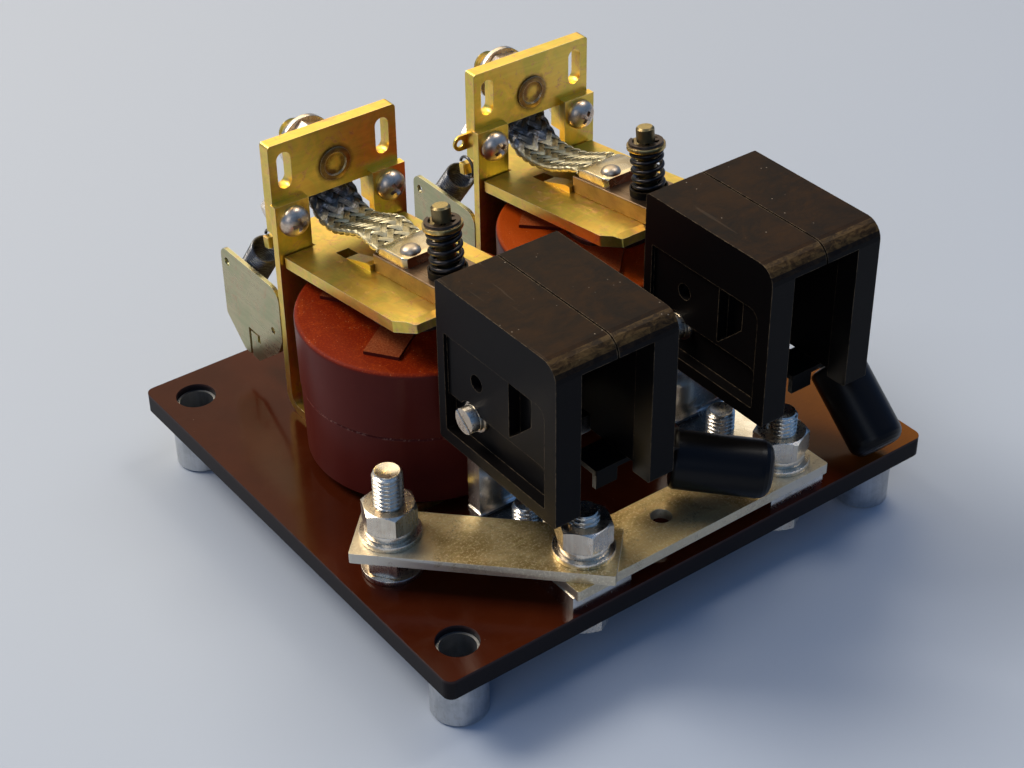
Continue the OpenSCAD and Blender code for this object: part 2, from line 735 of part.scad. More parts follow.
module spring_bracket(i) {
    low = board_top + bracket_low;
    high = board_top + bracket_top;
    back = yoke_y + yoke_t;
    tongue = board_top + tongue_z;
    anchor = board_top + anchor_z;
    outline = rounded([[back, high], [back, low + 14], [back + 2.5, low + 9], [back + 14, low],
        [bracket_rear - 9, low], [bracket_rear, low + 8], [bracket_rear, high]],
        [4, 1, 2, 1.5, 1.5, 2, 3]);
    color([0.78, 0.66, 0.36]) at_unit(i) {
        translate([bracket_x, 0, 0]) difference() {
            along_x(bracket_t) polygon(outline);
            translate([0, bracket_rear - 3.2, high - 4]) rod_x(-3, 6, 1.3);
            translate([0, back + 4.5, tongue + 7]) rod_x(-3, 6, 1.1);
            translate([-3, tongue_y - 1.9, tongue]) cube([6, 5.1, 0.8]);
            translate([-3, tongue_y - 1.9, tongue - 2]) cube([6, 1.5, 2.1]);
            translate([-3, tongue_y + 3.1, low - 1]) cube([6, 1.3, tongue - low + 1.8]);
        }
        translate([bracket_x - bracket_t / 2, anchor_y - 1.3, anchor - bracket_t / 2]) {
            cube([return_x - bracket_x + bracket_t / 2 + 3.6, 2.6, bracket_t]);
            translate([return_x - bracket_x + bracket_t / 2 + 2.4, 0, 0]) cube([1.2, 2.6, 2.4]);
        }
        translate([bracket_x - bracket_t / 2, back, low + 14]) cube([22, bracket_t, high - low - 18]);
        for (z = [low + 18, high - 9]) translate([-8, back + bracket_t, z]) rotate([-90, 0, 0])
            rotate_extrude() polygon([[0, 0], [3, 0], [2.7, 0.8], [1.8, 1.4], [0, 1.6]]);
    }
}

module terminal_plate(i) {
    w = plate_w / 2;
    n = notch_w / 2;
    top = board_top + plate_top;
    low = board_top + plate_low;
    edge = board_top + plate_notch;
    outline = rounded([[w, top], [-w, top], [-w, low], [-n, low], [-n, edge], [n, edge], [n, low], [w, low]],
        [1, 1, 0.6, 0.6, 0.6, 0.6, 0.6, 0.6], 4);
    color([0.76, 0.61, 0.24]) at_unit(i) along_y(plate_front, plate_t) difference() {
        polygon(outline);
        for (x = [-1, 1]) {
            translate([x * plate_screw_x, board_top + plate_screw_z]) circle(r = plate_screw_r + bolt_play);
            translate([x * plate_screw_x, board_top + slot_z]) {
                square([slot_w, slot_len - slot_w], center = true);
                for (z = [-1, 1]) translate([0, z * (slot_len - slot_w) / 2]) circle(r = slot_w / 2);
            }
        }
        translate([0, board_top + rear_stud_z]) circle(r = stud_r + 0.02);
    }
}

module plate_screws() {
    color([0.7, 0.69, 0.66]) for (i = [0, 1], x = [-1, 1])
        translate([unit_x(i) + x * plate_screw_x, yoke_y, board_top + plate_screw_z])
            rotate([90, 0, 0]) pan_screw(dome_r, dome_h, plate_screw_r, yoke_t + plate_t + tag_t + 4);
}

// Ring under each plate nut, where one unit has its solder tag instead
module plate_nuts() {
    color([0.72, 0.7, 0.62]) for (i = [0, 1], x = [-1, 1])
        translate([unit_x(i) + x * plate_screw_x, 0, board_top + plate_screw_z]) rotate([-90, 0, 0]) {
            rotate(15) nut(plate_back + tag_t, 3.2, 7, plate_screw_r + 0.02);
            if (i == 0 || x == 1) ring(plate_back, tag_t, 4.4, plate_screw_r + bolt_play / 2);
        }
}

module solder_tag() {
    color([0.78, 0.64, 0.3]) translate([unit_x(1) - plate_screw_x, 0, board_top + plate_screw_z])
        along_y(plate_back, tag_t) difference() {
            union() {
                circle(r = 3.6);
                translate([-6.5, -2.4]) square([6.5, 4.8]);
                translate([-6.5, 0]) circle(r = 2.4);
            }
            circle(r = plate_screw_r + bolt_play / 2);
            translate([-6.8, 0]) circle(r = 1.1);
        }
}

module rear_studs() {
    color([0.76, 0.62, 0.3]) for (i = [0, 1]) at_unit(i)
        translate([0, plate_front, board_top + rear_stud_z]) rotate([-90, 0, 0]) {
            stud(-0.01, plate_t + rear_stud_len, stud_r, 0.8);
            ring(-0.6, 0.6, 4.8, 3.2);
            translate([0, 0, -0.3]) cylinder(h = 0.4, r = 3.2);
        }
}

module rear_nuts() {
    color([0.8, 0.74, 0.62]) for (i = [0, 1]) at_unit(i)
        translate([0, 0, board_top + rear_stud_z]) rotate([-90, 0, 0])
            rotate(20 - 12 * i) nut(plate_back + braid_t + washer_t, nut_h, nut_af, stud_r + 0.02);
}

module fixed_contact(i) {
    path = bent([[foot_front, board_top + fixed_t / 2],
        [upright_y + fixed_t / 2, board_top + fixed_t / 2],
        [upright_y + fixed_t / 2, table_mid], [table_front, table_mid]], [5, 5]);
    side = (foot_w - upright_w) / 2;
    color([0.74, 0.72, 0.68]) translate([unit_x(i) + contact_shift, 0, 0]) difference() {
        along_x(foot_w) polygon(strip(path, fixed_t));
        for (x = [-1, 1]) translate([x * (foot_w - side) / 2, 0, board_top + fixed_t + 30])
            cube([side + 0.001, 120, 58], center = true);
        for (y = [stud_y, foot_screw_y]) translate([0, y, board_top - 1])
            cylinder(h = fixed_t + 2, r = y == stud_y ? bolt_hole_r : stud_r + 0.02);
        for (x = [-1, 1]) translate([x * (upright_w / 2 - 3), chute_screw_y, table_mid])
            rod_x(-4, 8, chute_screw_r + 0.02);
    }
}

module fixed_tip(i) {
    color([0.85, 0.84, 0.8]) translate([unit_x(i) + contact_shift + 1, 0, board_top + table_top])
        along_x(13) polygon([[tip_world - 6, 0], [tip_world + 6, 0], [tip_world + 6, fixed_tip_t - 0.8],
            [tip_world + 5, fixed_tip_t], [tip_world - 5, fixed_tip_t], [tip_world - 6, fixed_tip_t - 0.8]]);
}
tip_world = hinge_y - tip_reach * cos(rest_tilt);

// Outline of the chute seen from the side, drawn in by d
function chute_shape(d) = rounded([[chute_rear - d, board_top + chute_low + d],
    [chute_rear - d, board_top + chute_top - d], [chute_front + d, board_top + chute_top - d],
    [chute_front + d, board_top + chute_low + d]], [0.9 - d, 1.2 - d, chute_round - d, 0.9 - d]);
band_low = board_top + chute_top - chute_round;
rear_mouth_high = board_top + chute_top - 8.5;
recess_low = board_top + chute_low + 3.7;
recess_high = board_top + chute_top - 14.2;
panel_low = board_top + chute_low + 14.6;
recess_rear = chute_rear - 2.9;
recess_front = chute_front + 4.4;
pocket_rear = chute_screw_y - 15.7;
pocket_w = 8.8;
pocket_depth = chute_wall - 0.6;
panel_sink = 1;

// Half of the chute: side is -1 for the left and 1 for the right
module chute_half(i, side) {
    outer = side < 0 ? chute_left : chute_right;
    inner = outer - side * chute_wall;
    start = side < 0 ? chute_left : chute_x;
    low = board_top + chute_low - 1;
    depth = chute_rear - chute_front;
    boss_end = side < 0 ? contact_shift - upright_w / 2 : contact_shift + upright_w / 2;
    color([0.12, 0.12, 0.13]) at_unit(i) {
        difference() {
            translate([start + chute_w / 4, 0, 0]) along_x(chute_w / 2) polygon(chute_shape(0));
            translate([chute_inner_left, chute_front + 6.5, low])
                cube([chute_inner_right - chute_inner_left, depth - 10, chute_top - chute_low - chute_roof + 1]);
            translate([chute_left + chute_leg, chute_front - 1, low])
                cube([chute_w - 2 * chute_leg, 9, band_low - low]);
            translate([chute_inner_left, chute_rear - 5, low])
                cube([arm_x + arm_w / 2 + 1.6 - chute_inner_left, 6, rear_mouth_high - low]);
            translate([chute_x, 0, 0]) along_x(seam_w) difference() {
                translate([chute_front - 5, low - 5]) square([depth + 10, chute_top - chute_low + 12]);
                polygon(chute_shape(seam_w));
            }
            translate([outer, 0, 0]) side_relief();
            translate([outer, chute_screw_y, table_mid])
                rod_x(-chute_wall - 1, 2 * chute_wall + 2, chute_screw_r + 0.15);
        }
        translate([inner, chute_screw_y, table_mid]) difference() {
            rod_x(min(0, boss_end - inner), abs(boss_end - inner), chute_screw_r + 2);
            rod_x(-20, 40, chute_screw_r + 0.15);
        }
    }
}

// What is sunk into a side: a panel, a deep foot below it, a pocket, a vent and a screw seat
module side_relief() {
    along_x(2 * panel_sink) polygon(rounded([[recess_rear, recess_low], [recess_rear, recess_high],
        [recess_front, recess_high], [recess_front, recess_low]], [0.5, 0.5, 3, 0.5], 4));
    along_x(2 * recess_depth) polygon(rounded([[recess_rear, recess_low], [recess_rear, panel_low],
        [recess_front, panel_low], [recess_front, recess_low]], [0.5, 0.5, 3, 0.5], 4));
    along_x(2 * pocket_depth) polygon(rounded([[pocket_rear, panel_low + 0.8], [pocket_rear, recess_high - 0.4],
        [pocket_rear - pocket_w, recess_high - 0.4], [pocket_rear - pocket_w, panel_low + 9]],
        [0.3, 0.3, 0.5, 1], 3));
    translate([0, chute_screw_y - 2.7, table_mid + 12]) rod_x(-chute_wall - 1, 2 * chute_wall + 2, vent_r);
    translate([0, chute_screw_y, table_mid]) rod_x(-recess_depth, 2 * recess_depth, chute_washer_r + 0.3);
}

// Cheese-head screw with its washers, seated at x = 0 and driven towards +X
module chute_screw(len) {
    stack = chute_washer_t + chute_spring_t;
    rod_x(-chute_washer_t, chute_washer_t, chute_washer_r);
    rod_x(-stack, chute_spring_t, chute_head_r + 0.2);
    rod_x(-stack, stack + len, chute_screw_r);
    difference() {
        rod_x(-stack - chute_head_h, chute_head_h, chute_head_r);
        translate([-stack - chute_head_h - 1, -0.5, -5]) cube([2.2, 1, 10]);
    }
}

module chute_screws() {
    bite = 4;
    left_len = contact_shift - upright_w / 2 - chute_left - recess_depth + bite;
    right_len = chute_right - recess_depth - contact_shift - upright_w / 2 + bite;
    color([0.78, 0.77, 0.74]) for (i = [0, 1]) at_unit(i) translate([0, chute_screw_y, table_mid]) {
        translate([chute_left + recess_depth, 0, 0]) rotate([-52, 0, 0]) chute_screw(left_len);
        translate([chute_right - recess_depth, 0, 0]) mirror([1, 0, 0]) rotate([-20, 0, 0])
            chute_screw(right_len);
    }
}

grip_top = board_top + grip_z + 6.2;
grip_plate_t = board_top + chute_low - grip_top - seat_gap;

// Strap under the chute's right leg that carries the grip's pin
module grip_bracket(i) {
    low = grip_top + seat_gap;
    pin_low = board_top + grip_z - 1.4;
    color([0.2, 0.2, 0.21]) at_unit(i) {
        translate([0, 0, low]) linear_extrude(height = grip_plate_t) difference() {
            union() {
                polygon(rounded([[5.6, -61.4], [pivot_x - 5, -61.4], [pivot_x - 5, -51.6], [5.6, -51.6]],
                    [0.5, 0, 0, 0.5], 3));
                translate([pivot_x - 5.01, pivot_y - eye_r]) square([5.01, 2 * eye_r]);
                translate([pivot_x, pivot_y]) circle(r = eye_r);
            }
            translate([pivot_x, pivot_y]) circle(r = pivot_r);
        }
        translate([5.6, -61.4, low - 4]) cube([6.8, 1.5, 4.01]);
        translate([pivot_x, pivot_y, 0]) rotate_extrude() polygon([[0, pin_low - 1.6],
            [3.2, pin_low - 1.6], [3.2, pin_low - 0.3], [pivot_r, pin_low - 0.3],
            [pivot_r, low + grip_plate_t], [0, low + grip_plate_t]]);
    }
}

// Round grip on its pin: the first unit's points nearly level, the second one's hangs down
module grip(i) {
    low = board_top + grip_z - 1.4;
    root = grip_root - grip_push * i;
    color([0.09, 0.09, 0.1]) translate([unit_x(i) + pivot_x, pivot_y, 0]) rotate(grip_rest[i])
        difference() {
            union() {
                translate([0, 0, low]) cylinder(h = grip_top - low, r = eye_r);
                if (i == 0) translate([0, -eye_r, low]) cube([grip_root + 2, 2 * eye_r, grip_top - low]);
                translate([0, 0, board_top + grip_z]) rotate([0, 90 + grip_tilt[i], 0])
                    translate([0, 0, root]) rotate_extrude() polygon(rounded([[0, 0], [grip_r, 0],
                        [grip_r, grip_len], [0, grip_len]], [0, 1.2, 3.5, 0], 5));
            }
            translate([0, 0, low - 20]) cylinder(h = grip_top - low + 21, r = pivot_r + pivot_play);
            translate([0, 0, low - 20]) cylinder(h = 20, r = 3.6);
        }
}

module armature(i) {
    w = armature_w / 2;
    n = notch_w / 2 - 0.8;
    rear = -edge_r - 0.9;
    hook_left = return_x - 1.9;
    outline = rounded([[-w, rear], [-w, 5 - armature_len], [3.7 - w, -armature_len], [w - 3.7, -armature_len],
        [w, 5 - armature_len], [w, rear], [n, rear], [n, tail_y + tail_bar / 2], [hook_left, tail_y + tail_bar / 2],
        [hook_left, tail_y - tail_bar / 2], [-n, tail_y - tail_bar / 2], [-n, rear]],
        [0.5, 1, 1, 1, 1, 0.5, 0, 1, 0.4, 0.4, 0, 0]);
    color([0.76, 0.64, 0.3]) on_armature(i) {
        difference() {
            translate([0, 0, under]) linear_extrude(height = armature_t) polygon(outline);
            rod_x(-notch_w, 2 * notch_w, groove_r);
            translate([0, -post_reach, 0]) cylinder(h = 9, r = post_r);
            for (x = [-1, 1]) translate([arm_x + x * 7 - 2, -arm_rear + lug_len + 0.6, 0]) cube([4, 5, 9]);
            translate([0, -armature_len, arm_seat]) along_x(armature_w + 2)
                polygon([[-1, 2], [-1, -lip_drop - lip_drop / lip_len], [lip_len + 1, lip_drop / lip_len],
                    [lip_len + 1, 2]]);
        }
        for (x = [-1, 1]) translate([arm_x + x * 7, -arm_rear + seat_gap, arm_seat]) along_x(3.8)
            polygon([[0, -0.01], [0, 1.8], [2, 2], [lug_len, 0.2], [lug_len, -0.01]]);
    }
}

module spring_post(i) {
    color([0.8, 0.65, 0.3]) on_armature(i) translate([0, -post_reach, 0]) rotate_extrude()
        polygon([[0, under], [post_r, under], [post_r, clip_top - clip_t], [post_r - 0.6, clip_top - clip_t],
            [post_r - 0.6, clip_top], [post_r, clip_top], [post_r, post_top - 0.5], [post_r - 0.5, post_top],
            [0, post_top]]);
}

// Retaining clip in the post's groove, with the washer that the spring bears on
module post_clip(i) {
    color([0.62, 0.5, 0.26]) on_armature(i) translate([0, -post_reach, 0]) {
        translate([0, 0, clip_top - clip_t]) linear_extrude(height = clip_t) difference() {
            union() {
                difference() {
                    circle(r = clip_r);
                    circle(r = clip_r - 1.1);
                }
                for (a = [210 : 60 : 330]) rotate(a) translate([post_r - 0.55, -0.9])
                    square([clip_r - post_r - 0.05, 1.8]);
            }
            translate([-1.4, 0]) square([2.8, 8]);
        }
        ring(spring_high, cup_t, cup_r, post_r + 0.05);
    }
}

// Dished washer under the contact spring
module spring_cup(i) {
    color([0.15, 0.15, 0.16]) on_armature(i) translate([0, -post_reach, arm_top]) rotate_extrude()
        polygon([[post_r + 0.7, 0], [cup_r, 0], [cup_r, cup_t + 0.9], [cup_r - 0.4, cup_t + 0.9],
            [cup_r - 0.4, cup_t], [post_r + 0.7, cup_t]]);
}

contact_path = compression_path(spring_low, spring_high, contact_coil_r, contact_wire, contact_curls);

module contact_spring(i) {
    color([0.1, 0.1, 0.11]) on_armature(i) translate([0, -post_reach, 0]) wire(contact_path, contact_wire);
}

module contact_arm(i) {
    color([0.66, 0.63, 0.58]) on_armature(i) difference() {
        translate([arm_x, 0, 0]) along_x(arm_w) polygon([[-arm_rear, arm_seat], [-arm_rear, arm_top],
            [6 - arm_front, arm_top], [-arm_front, arm_top + 1.6], [-arm_front - 1.2, arm_top - 1.6],
            [5 - arm_front, arm_seat]]);
        translate([0, -post_reach, arm_seat - 1]) cylinder(h = arm_t + 2, r = post_r + 0.7);
        translate([rivet_x, -rivet_reach, arm_seat - 1]) cylinder(h = arm_t + 2, r = 2.02);
    }
}

module moving_tip(i) {
    color([0.85, 0.84, 0.8]) on_armature(i) translate([contact_shift + 1, 0, 0]) along_x(12)
        polygon([[-tip_reach - 5, arm_seat - moving_tip_t + 0.7], [-tip_reach - 4.2, arm_seat - moving_tip_t],
            [-tip_reach + 4.2, arm_seat - moving_tip_t], [-tip_reach + 5, arm_seat - moving_tip_t + 0.7],
            [-tip_reach + 5, arm_seat], [-tip_reach - 5, arm_seat]]);
}

// Copper tab pressed on the braid's front end, with the rivet that holds it on the bar
module braid_lug(i) {
    top = arm_top + tab_t;
    color([0.7, 0.5, 0.36]) on_armature(i) {
        translate([arm_x, 0, arm_top]) linear_extrude(height = tab_t)
            polygon(rounded([[-tab_w / 2, -tab_front], [tab_w / 2, -tab_front],
                [tab_w / 2, -tab_rear], [-tab_w / 2, -tab_rear]], [1.2, 1.2, 0.8, 0.8], 4));
        translate([rivet_x, -rivet_reach, 0]) rotate_extrude() polygon(concat([[0, arm_seat + 0.05],
            [2, arm_seat + 0.05], [2, top - 0.1], [2.8, top - 0.1]],
            [for (a = [0 : 15 : 75]) [2.8 * cos(a), top + 1.9 * sin(a)]], [[0, top + 1.9]]));
    }
}

// A point of the open armature's frame, in Y and Z of the part
function lifted(p) = [hinge_y + p[0] * cos(open_angle) + p[1] * sin(open_angle),
    hinge_z - p[0] * sin(open_angle) + p[1] * cos(open_angle)];

braid_seat = arm_top + tab_t / 2 + 0.2;
braid_wall = plate_back + braid_t / 2;
braid_end = board_top + rear_stud_z + 7;
braid_start = [lifted([0.1 - tab_rear, braid_seat]), lifted([-27.5, braid_seat])];

// Middle line of each unit's braid: the first one arches, the second one hangs lower
braid_paths = [
    bent(concat(braid_start, [[23, hinge_z + 14.9], [36.5, hinge_z + 9.3], [43, hinge_z + 9.5],
        [braid_wall, hinge_z + 14.6], [braid_wall, braid_end]]), [10, 12, 14, 6, 2.6], 6),
    bent(concat(braid_start, [[27, hinge_z + 9.2], [35, hinge_z + 7.6], [41.5, hinge_z + 7.6],
        [braid_wall, hinge_z + 13.2], [braid_wall, braid_end]]), [10, 25, 20, 8, 2.6], 6)];

module braid(i) {
    color([0.7, 0.66, 0.5]) at_unit(i) difference() {
        translate([braid_x, 0, 0]) along_x(braid_w) polygon(strip(braid_paths[i], braid_t));
        translate([0, 0, board_top + rear_stud_z]) rod_y(plate_back - 1, braid_t + 2, stud_r + bolt_play);
    }
}

spring_top = lifted([tail_y, tail_z]);
spring_foot = [anchor_y, board_top + anchor_z];
spring_span = norm(spring_top - spring_foot);
spring_lean = atan2(spring_top[0] - spring_foot[0], spring_top[1] - spring_foot[1]);
return_path = tension_path(spring_span, hook_r, return_coil_r, return_curls, 2.2);

module return_spring(i) {
    color([0.12, 0.11, 0.12]) at_unit(i) translate([return_x, spring_foot[0], spring_foot[1]])
        rotate([-spring_lean, 0, 0]) wire(return_path, return_wire);
}

echo("least gap between curls, mm", return_spring = least_gap(return_path, return_wire, 6),
    contact_spring = least_gap(contact_path, contact_wire, 5));

base_board();
spacer_feet();
terminal_bolts();
terminal_nuts();
flat_washers();
spring_washers();
link_bar_supply();
link_bar_front();
contact_screws();
yoke_screws();
plate_screws();
plate_nuts();
rear_studs();
rear_nuts();
chute_screws();
solder_tag();
for (i = [0, 1]) {
    s = str("_", unit_names[i]);
    yoke(i);
    coil(i);
    core(i);
    spring_bracket(i);
    terminal_plate(i);
    fixed_contact(i);
    fixed_tip(i);
    chute_half(i, -1);
    chute_half(i, 1);
    grip_bracket(i);
    armature(i);
    spring_post(i);
    post_clip(i);
    contact_spring(i);
    contact_arm(i);
    moving_tip(i);
    spring_cup(i);
    braid(i);
    braid_lug(i);
    return_spring(i);
    grip(i);
}
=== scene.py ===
"""Looks of two direct-current contactors on one insulating board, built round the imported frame."""

import json
import logging
import math
import random
from dataclasses import dataclass, field
from enum import Enum
from functools import cached_property
from itertools import product
from typing import NamedTuple

import bpy
import numpy as np
from mathutils import Matrix, Vector

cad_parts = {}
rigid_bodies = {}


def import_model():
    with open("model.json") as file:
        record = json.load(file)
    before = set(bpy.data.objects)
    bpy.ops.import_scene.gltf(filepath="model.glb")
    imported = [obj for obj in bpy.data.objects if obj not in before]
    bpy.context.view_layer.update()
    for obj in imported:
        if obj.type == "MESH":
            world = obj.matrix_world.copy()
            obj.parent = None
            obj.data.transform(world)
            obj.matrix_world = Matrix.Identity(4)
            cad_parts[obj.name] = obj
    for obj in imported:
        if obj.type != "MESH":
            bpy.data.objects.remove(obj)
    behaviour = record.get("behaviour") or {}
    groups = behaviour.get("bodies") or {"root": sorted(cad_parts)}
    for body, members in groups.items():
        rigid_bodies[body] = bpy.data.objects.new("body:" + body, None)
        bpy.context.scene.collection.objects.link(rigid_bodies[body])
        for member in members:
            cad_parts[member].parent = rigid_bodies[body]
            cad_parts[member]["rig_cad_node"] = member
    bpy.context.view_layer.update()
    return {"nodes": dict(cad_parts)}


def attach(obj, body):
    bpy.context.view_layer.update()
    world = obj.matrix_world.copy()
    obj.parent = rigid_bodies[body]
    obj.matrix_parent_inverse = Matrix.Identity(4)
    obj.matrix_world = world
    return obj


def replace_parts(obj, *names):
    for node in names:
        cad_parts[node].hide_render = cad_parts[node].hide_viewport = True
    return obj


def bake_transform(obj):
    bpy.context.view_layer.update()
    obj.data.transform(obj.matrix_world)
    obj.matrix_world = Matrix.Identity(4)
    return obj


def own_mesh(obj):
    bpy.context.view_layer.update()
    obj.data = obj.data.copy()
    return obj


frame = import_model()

log = logging.getLogger("contactor")

Point = tuple[float, float, float]
Colour = tuple[float, float, float]
Pair = tuple[float, float]
Ring = list[Point]
MM = 0.001
UNITS = ("a", "b")
METAL = {"Metallic": 1.0}
EVEN = (1.0, 1.0, 1.0)


class Axis(Enum):
    """Direction in which a surface was rolled, drawn or brushed."""

    X = 0
    Y = 1
    Z = 2


class Side(Enum):
    """Side of a unit, seen from the front."""

    LEFT = -1
    RIGHT = 1


# ---------------------------------------------------------------- shader graph


class Signal:
    """A shader value that Python's operators extend with Math nodes."""

    def __init__(self, graph: "Graph", socket: bpy.types.NodeSocket | None) -> None:
        """Wraps one output socket, or none for a node that ends a graph."""
        self.graph = graph
        self.socket = socket

    def math(self, operation: str, *others: "Signal | float") -> "Signal":
        """Adds a Math node that starts from this value."""
        return self.graph.node("ShaderNodeMath", {"operation": operation}, dict(enumerate((self, *others))))

    def __add__(self, other: "Signal | float") -> "Signal":
        """Sum."""
        return self.math("ADD", other)

    def __sub__(self, other: "Signal | float") -> "Signal":
        """Difference."""
        return self.math("SUBTRACT", other)

    def __rsub__(self, other: float) -> "Signal":
        """Difference from a number."""
        return self.graph.node("ShaderNodeMath", {"operation": "SUBTRACT"}, {0: other, 1: self})

    def __mul__(self, other: "Signal | float") -> "Signal":
        """Product."""
        return self.math("MULTIPLY", other)

    __radd__, __rmul__ = __add__, __mul__

    def __pow__(self, other: float) -> "Signal":
        """Power."""
        return self.math("POWER", other)

    def __abs__(self) -> "Signal":
        """Absolute value."""
        return self.math("ABSOLUTE")

    def step(self, low: float, high: float) -> "Signal":
        """Rises smoothly from 0 at low to 1 at high, which may be below low."""
        values = {"Value": self, "From Min": low, "From Max": high}
        return self.graph.node("ShaderNodeMapRange", {"interpolation_type": "SMOOTHSTEP"}, values)

    def span(self, low: float, high: float) -> "Signal":
        """Spreads a value between 0 and 1 over another range."""
        return self * (high - low) + low


class Graph:
    """Node tree of a material or of the world, with the ways to add to it."""

    def __init__(self, owner: bpy.types.Material | bpy.types.World) -> None:
        """Empties the node tree.

        Args:
            owner: The material or world.
        """
        self.owner = owner
        owner.use_nodes = True
        self.tree = owner.node_tree
        self.tree.nodes.clear()

    @cached_property
    def position(self) -> Signal:
        """Position on the object in metres."""
        return self.node("ShaderNodeTexCoord", out="Object")

    @cached_property
    def normal(self) -> Signal:
        """The surface's own normal."""
        return self.node("ShaderNodeTexCoord", out="Normal")

    def node(
        self, kind: str, settings: dict[str, object] | None = None, values: dict[str | int, object] | None = None,
        out: str | int = 0,
    ) -> Signal:
        """Adds any node.

        Args:
            kind: The node's type.
            settings: Its attributes, set first. "stops" gives an eased colour ramp's positions and colours.
            values: Numbers, colours or signals for its sockets, by name or place.
            out: The output to hand back.

        Returns:
            The chosen output.
        """
        made = self.tree.nodes.new(kind)
        for name, value in (settings or {}).items():
            if name == "stops":
                ramp = made.color_ramp
                ramp.interpolation = "EASE"
                for i, (place, colour) in enumerate(value):
                    stop = ramp.elements[i] if i < 2 else ramp.elements.new(place)
                    stop.position, stop.color = place, (*colour, 1.0)
            else:
                setattr(made, name, value)
        for name, value in (values or {}).items():
            socket = made.inputs[name]
            if isinstance(value, Signal):
                self.tree.links.new(value.socket, socket)
            elif isinstance(value, tuple) and len(value) == 3 and len(socket.default_value) == 4:
                socket.default_value = (*value, 1.0)
            else:
                socket.default_value = value
        return Signal(self, made.outputs[out] if made.outputs else None)

    def at(self, axis: Axis) -> Signal:
        """Component of the position along an axis."""
        return self.node("ShaderNodeSeparateXYZ", None, {0: self.position}, out=axis.value)

    def facing(self, axis: Axis) -> Signal:
        """Component of the surface's own normal along an axis."""
        return self.node("ShaderNodeSeparateXYZ", None, {0: self.normal}, out=axis.value)

    def noise(
        self, size_mm: float, detail: float = 3.0, rough: float = 0.55, stretch: Point = EVEN, twist: float = 0.0
    ) -> Signal:
        """Soft random value around 0.5.

        Args:
            size_mm: Rough width of a patch.
            detail: Octaves.
            rough: Share of the finer octaves.
            stretch: Factors on the position, larger for finer grain along that axis.
            twist: Distortion.

        Returns:
            The noise's factor.
        """
        place = self.position
        if stretch != EVEN:
            place = self.node("ShaderNodeVectorMath", {"operation": "MULTIPLY"}, {0: place, 1: stretch})
        values = {"Vector": place, "Scale": 1 / (size_mm * MM)}
        values |= {"Detail": detail, "Roughness": rough, "Distortion": twist}
        return self.node("ShaderNodeTexNoise", None, values)

    def cells(self, size_mm: float) -> Signal:
        """Distance to random points that lie a size apart, for pits, specks and grains."""
        values = {"Vector": self.position, "Scale": 1 / (size_mm * MM)}
        return self.node("ShaderNodeTexVoronoi", None, values, out="Distance")

    def mix(self, factor: Signal | float, low: Signal | Colour, high: Signal | Colour) -> Signal:
        """Mixes two colours by the share of the second one."""
        return self.node("ShaderNodeMix", {"data_type": "RGBA"}, {0: factor, 6: low, 7: high}, out=2)

    def edge_mask(self) -> Signal:
        """1 on edges, 0 on flats, from how far a softened normal turns away.

        Returns:
            The mask.
        """
        soft = self.node("ShaderNodeBevel", {"samples": 4}, {"Radius": 0.3 * MM})
        plain = self.node("ShaderNodeNewGeometry", out="Normal")
        same = self.node("ShaderNodeVectorMath", {"operation": "DOT_PRODUCT"}, {0: soft, 1: plain}, out="Value")
        return same.step(0.985, 0.90)

    def bump(self, height: Signal, depth_mm: float, strength: float) -> Signal:
        """Turns a height between 0 and 1 into a normal."""
        return self.node("ShaderNodeBump", None, {"Strength": strength, "Distance": depth_mm * MM, "Height": height})

    def surface(
        self, colour: Signal, rough: Signal | float, normal: Signal | None = None,
        constants: dict[str, float] | None = None,
    ) -> bpy.types.Material:
        """Closes the graph with a Principled shader.

        Args:
            colour: Its base colour.
            rough: Its roughness.
            normal: Its bent normal.
            constants: Numbers for its other sockets.

        Returns:
            The finished material.
        """
        values = {"Base Color": colour, "Roughness": rough} | (constants or {})
        if normal:
            values["Normal"] = normal
        self.node("ShaderNodeOutputMaterial", None, {0: self.node("ShaderNodeBsdfPrincipled", None, values)})
        return self.owner


# ---------------------------------------------------------------- finishes


class Noises(NamedTuple):
    """Noises of a plated surface: broad, finer, and drawn out along the grain."""

    cloud: Signal
    bloom: Signal
    marks: Signal


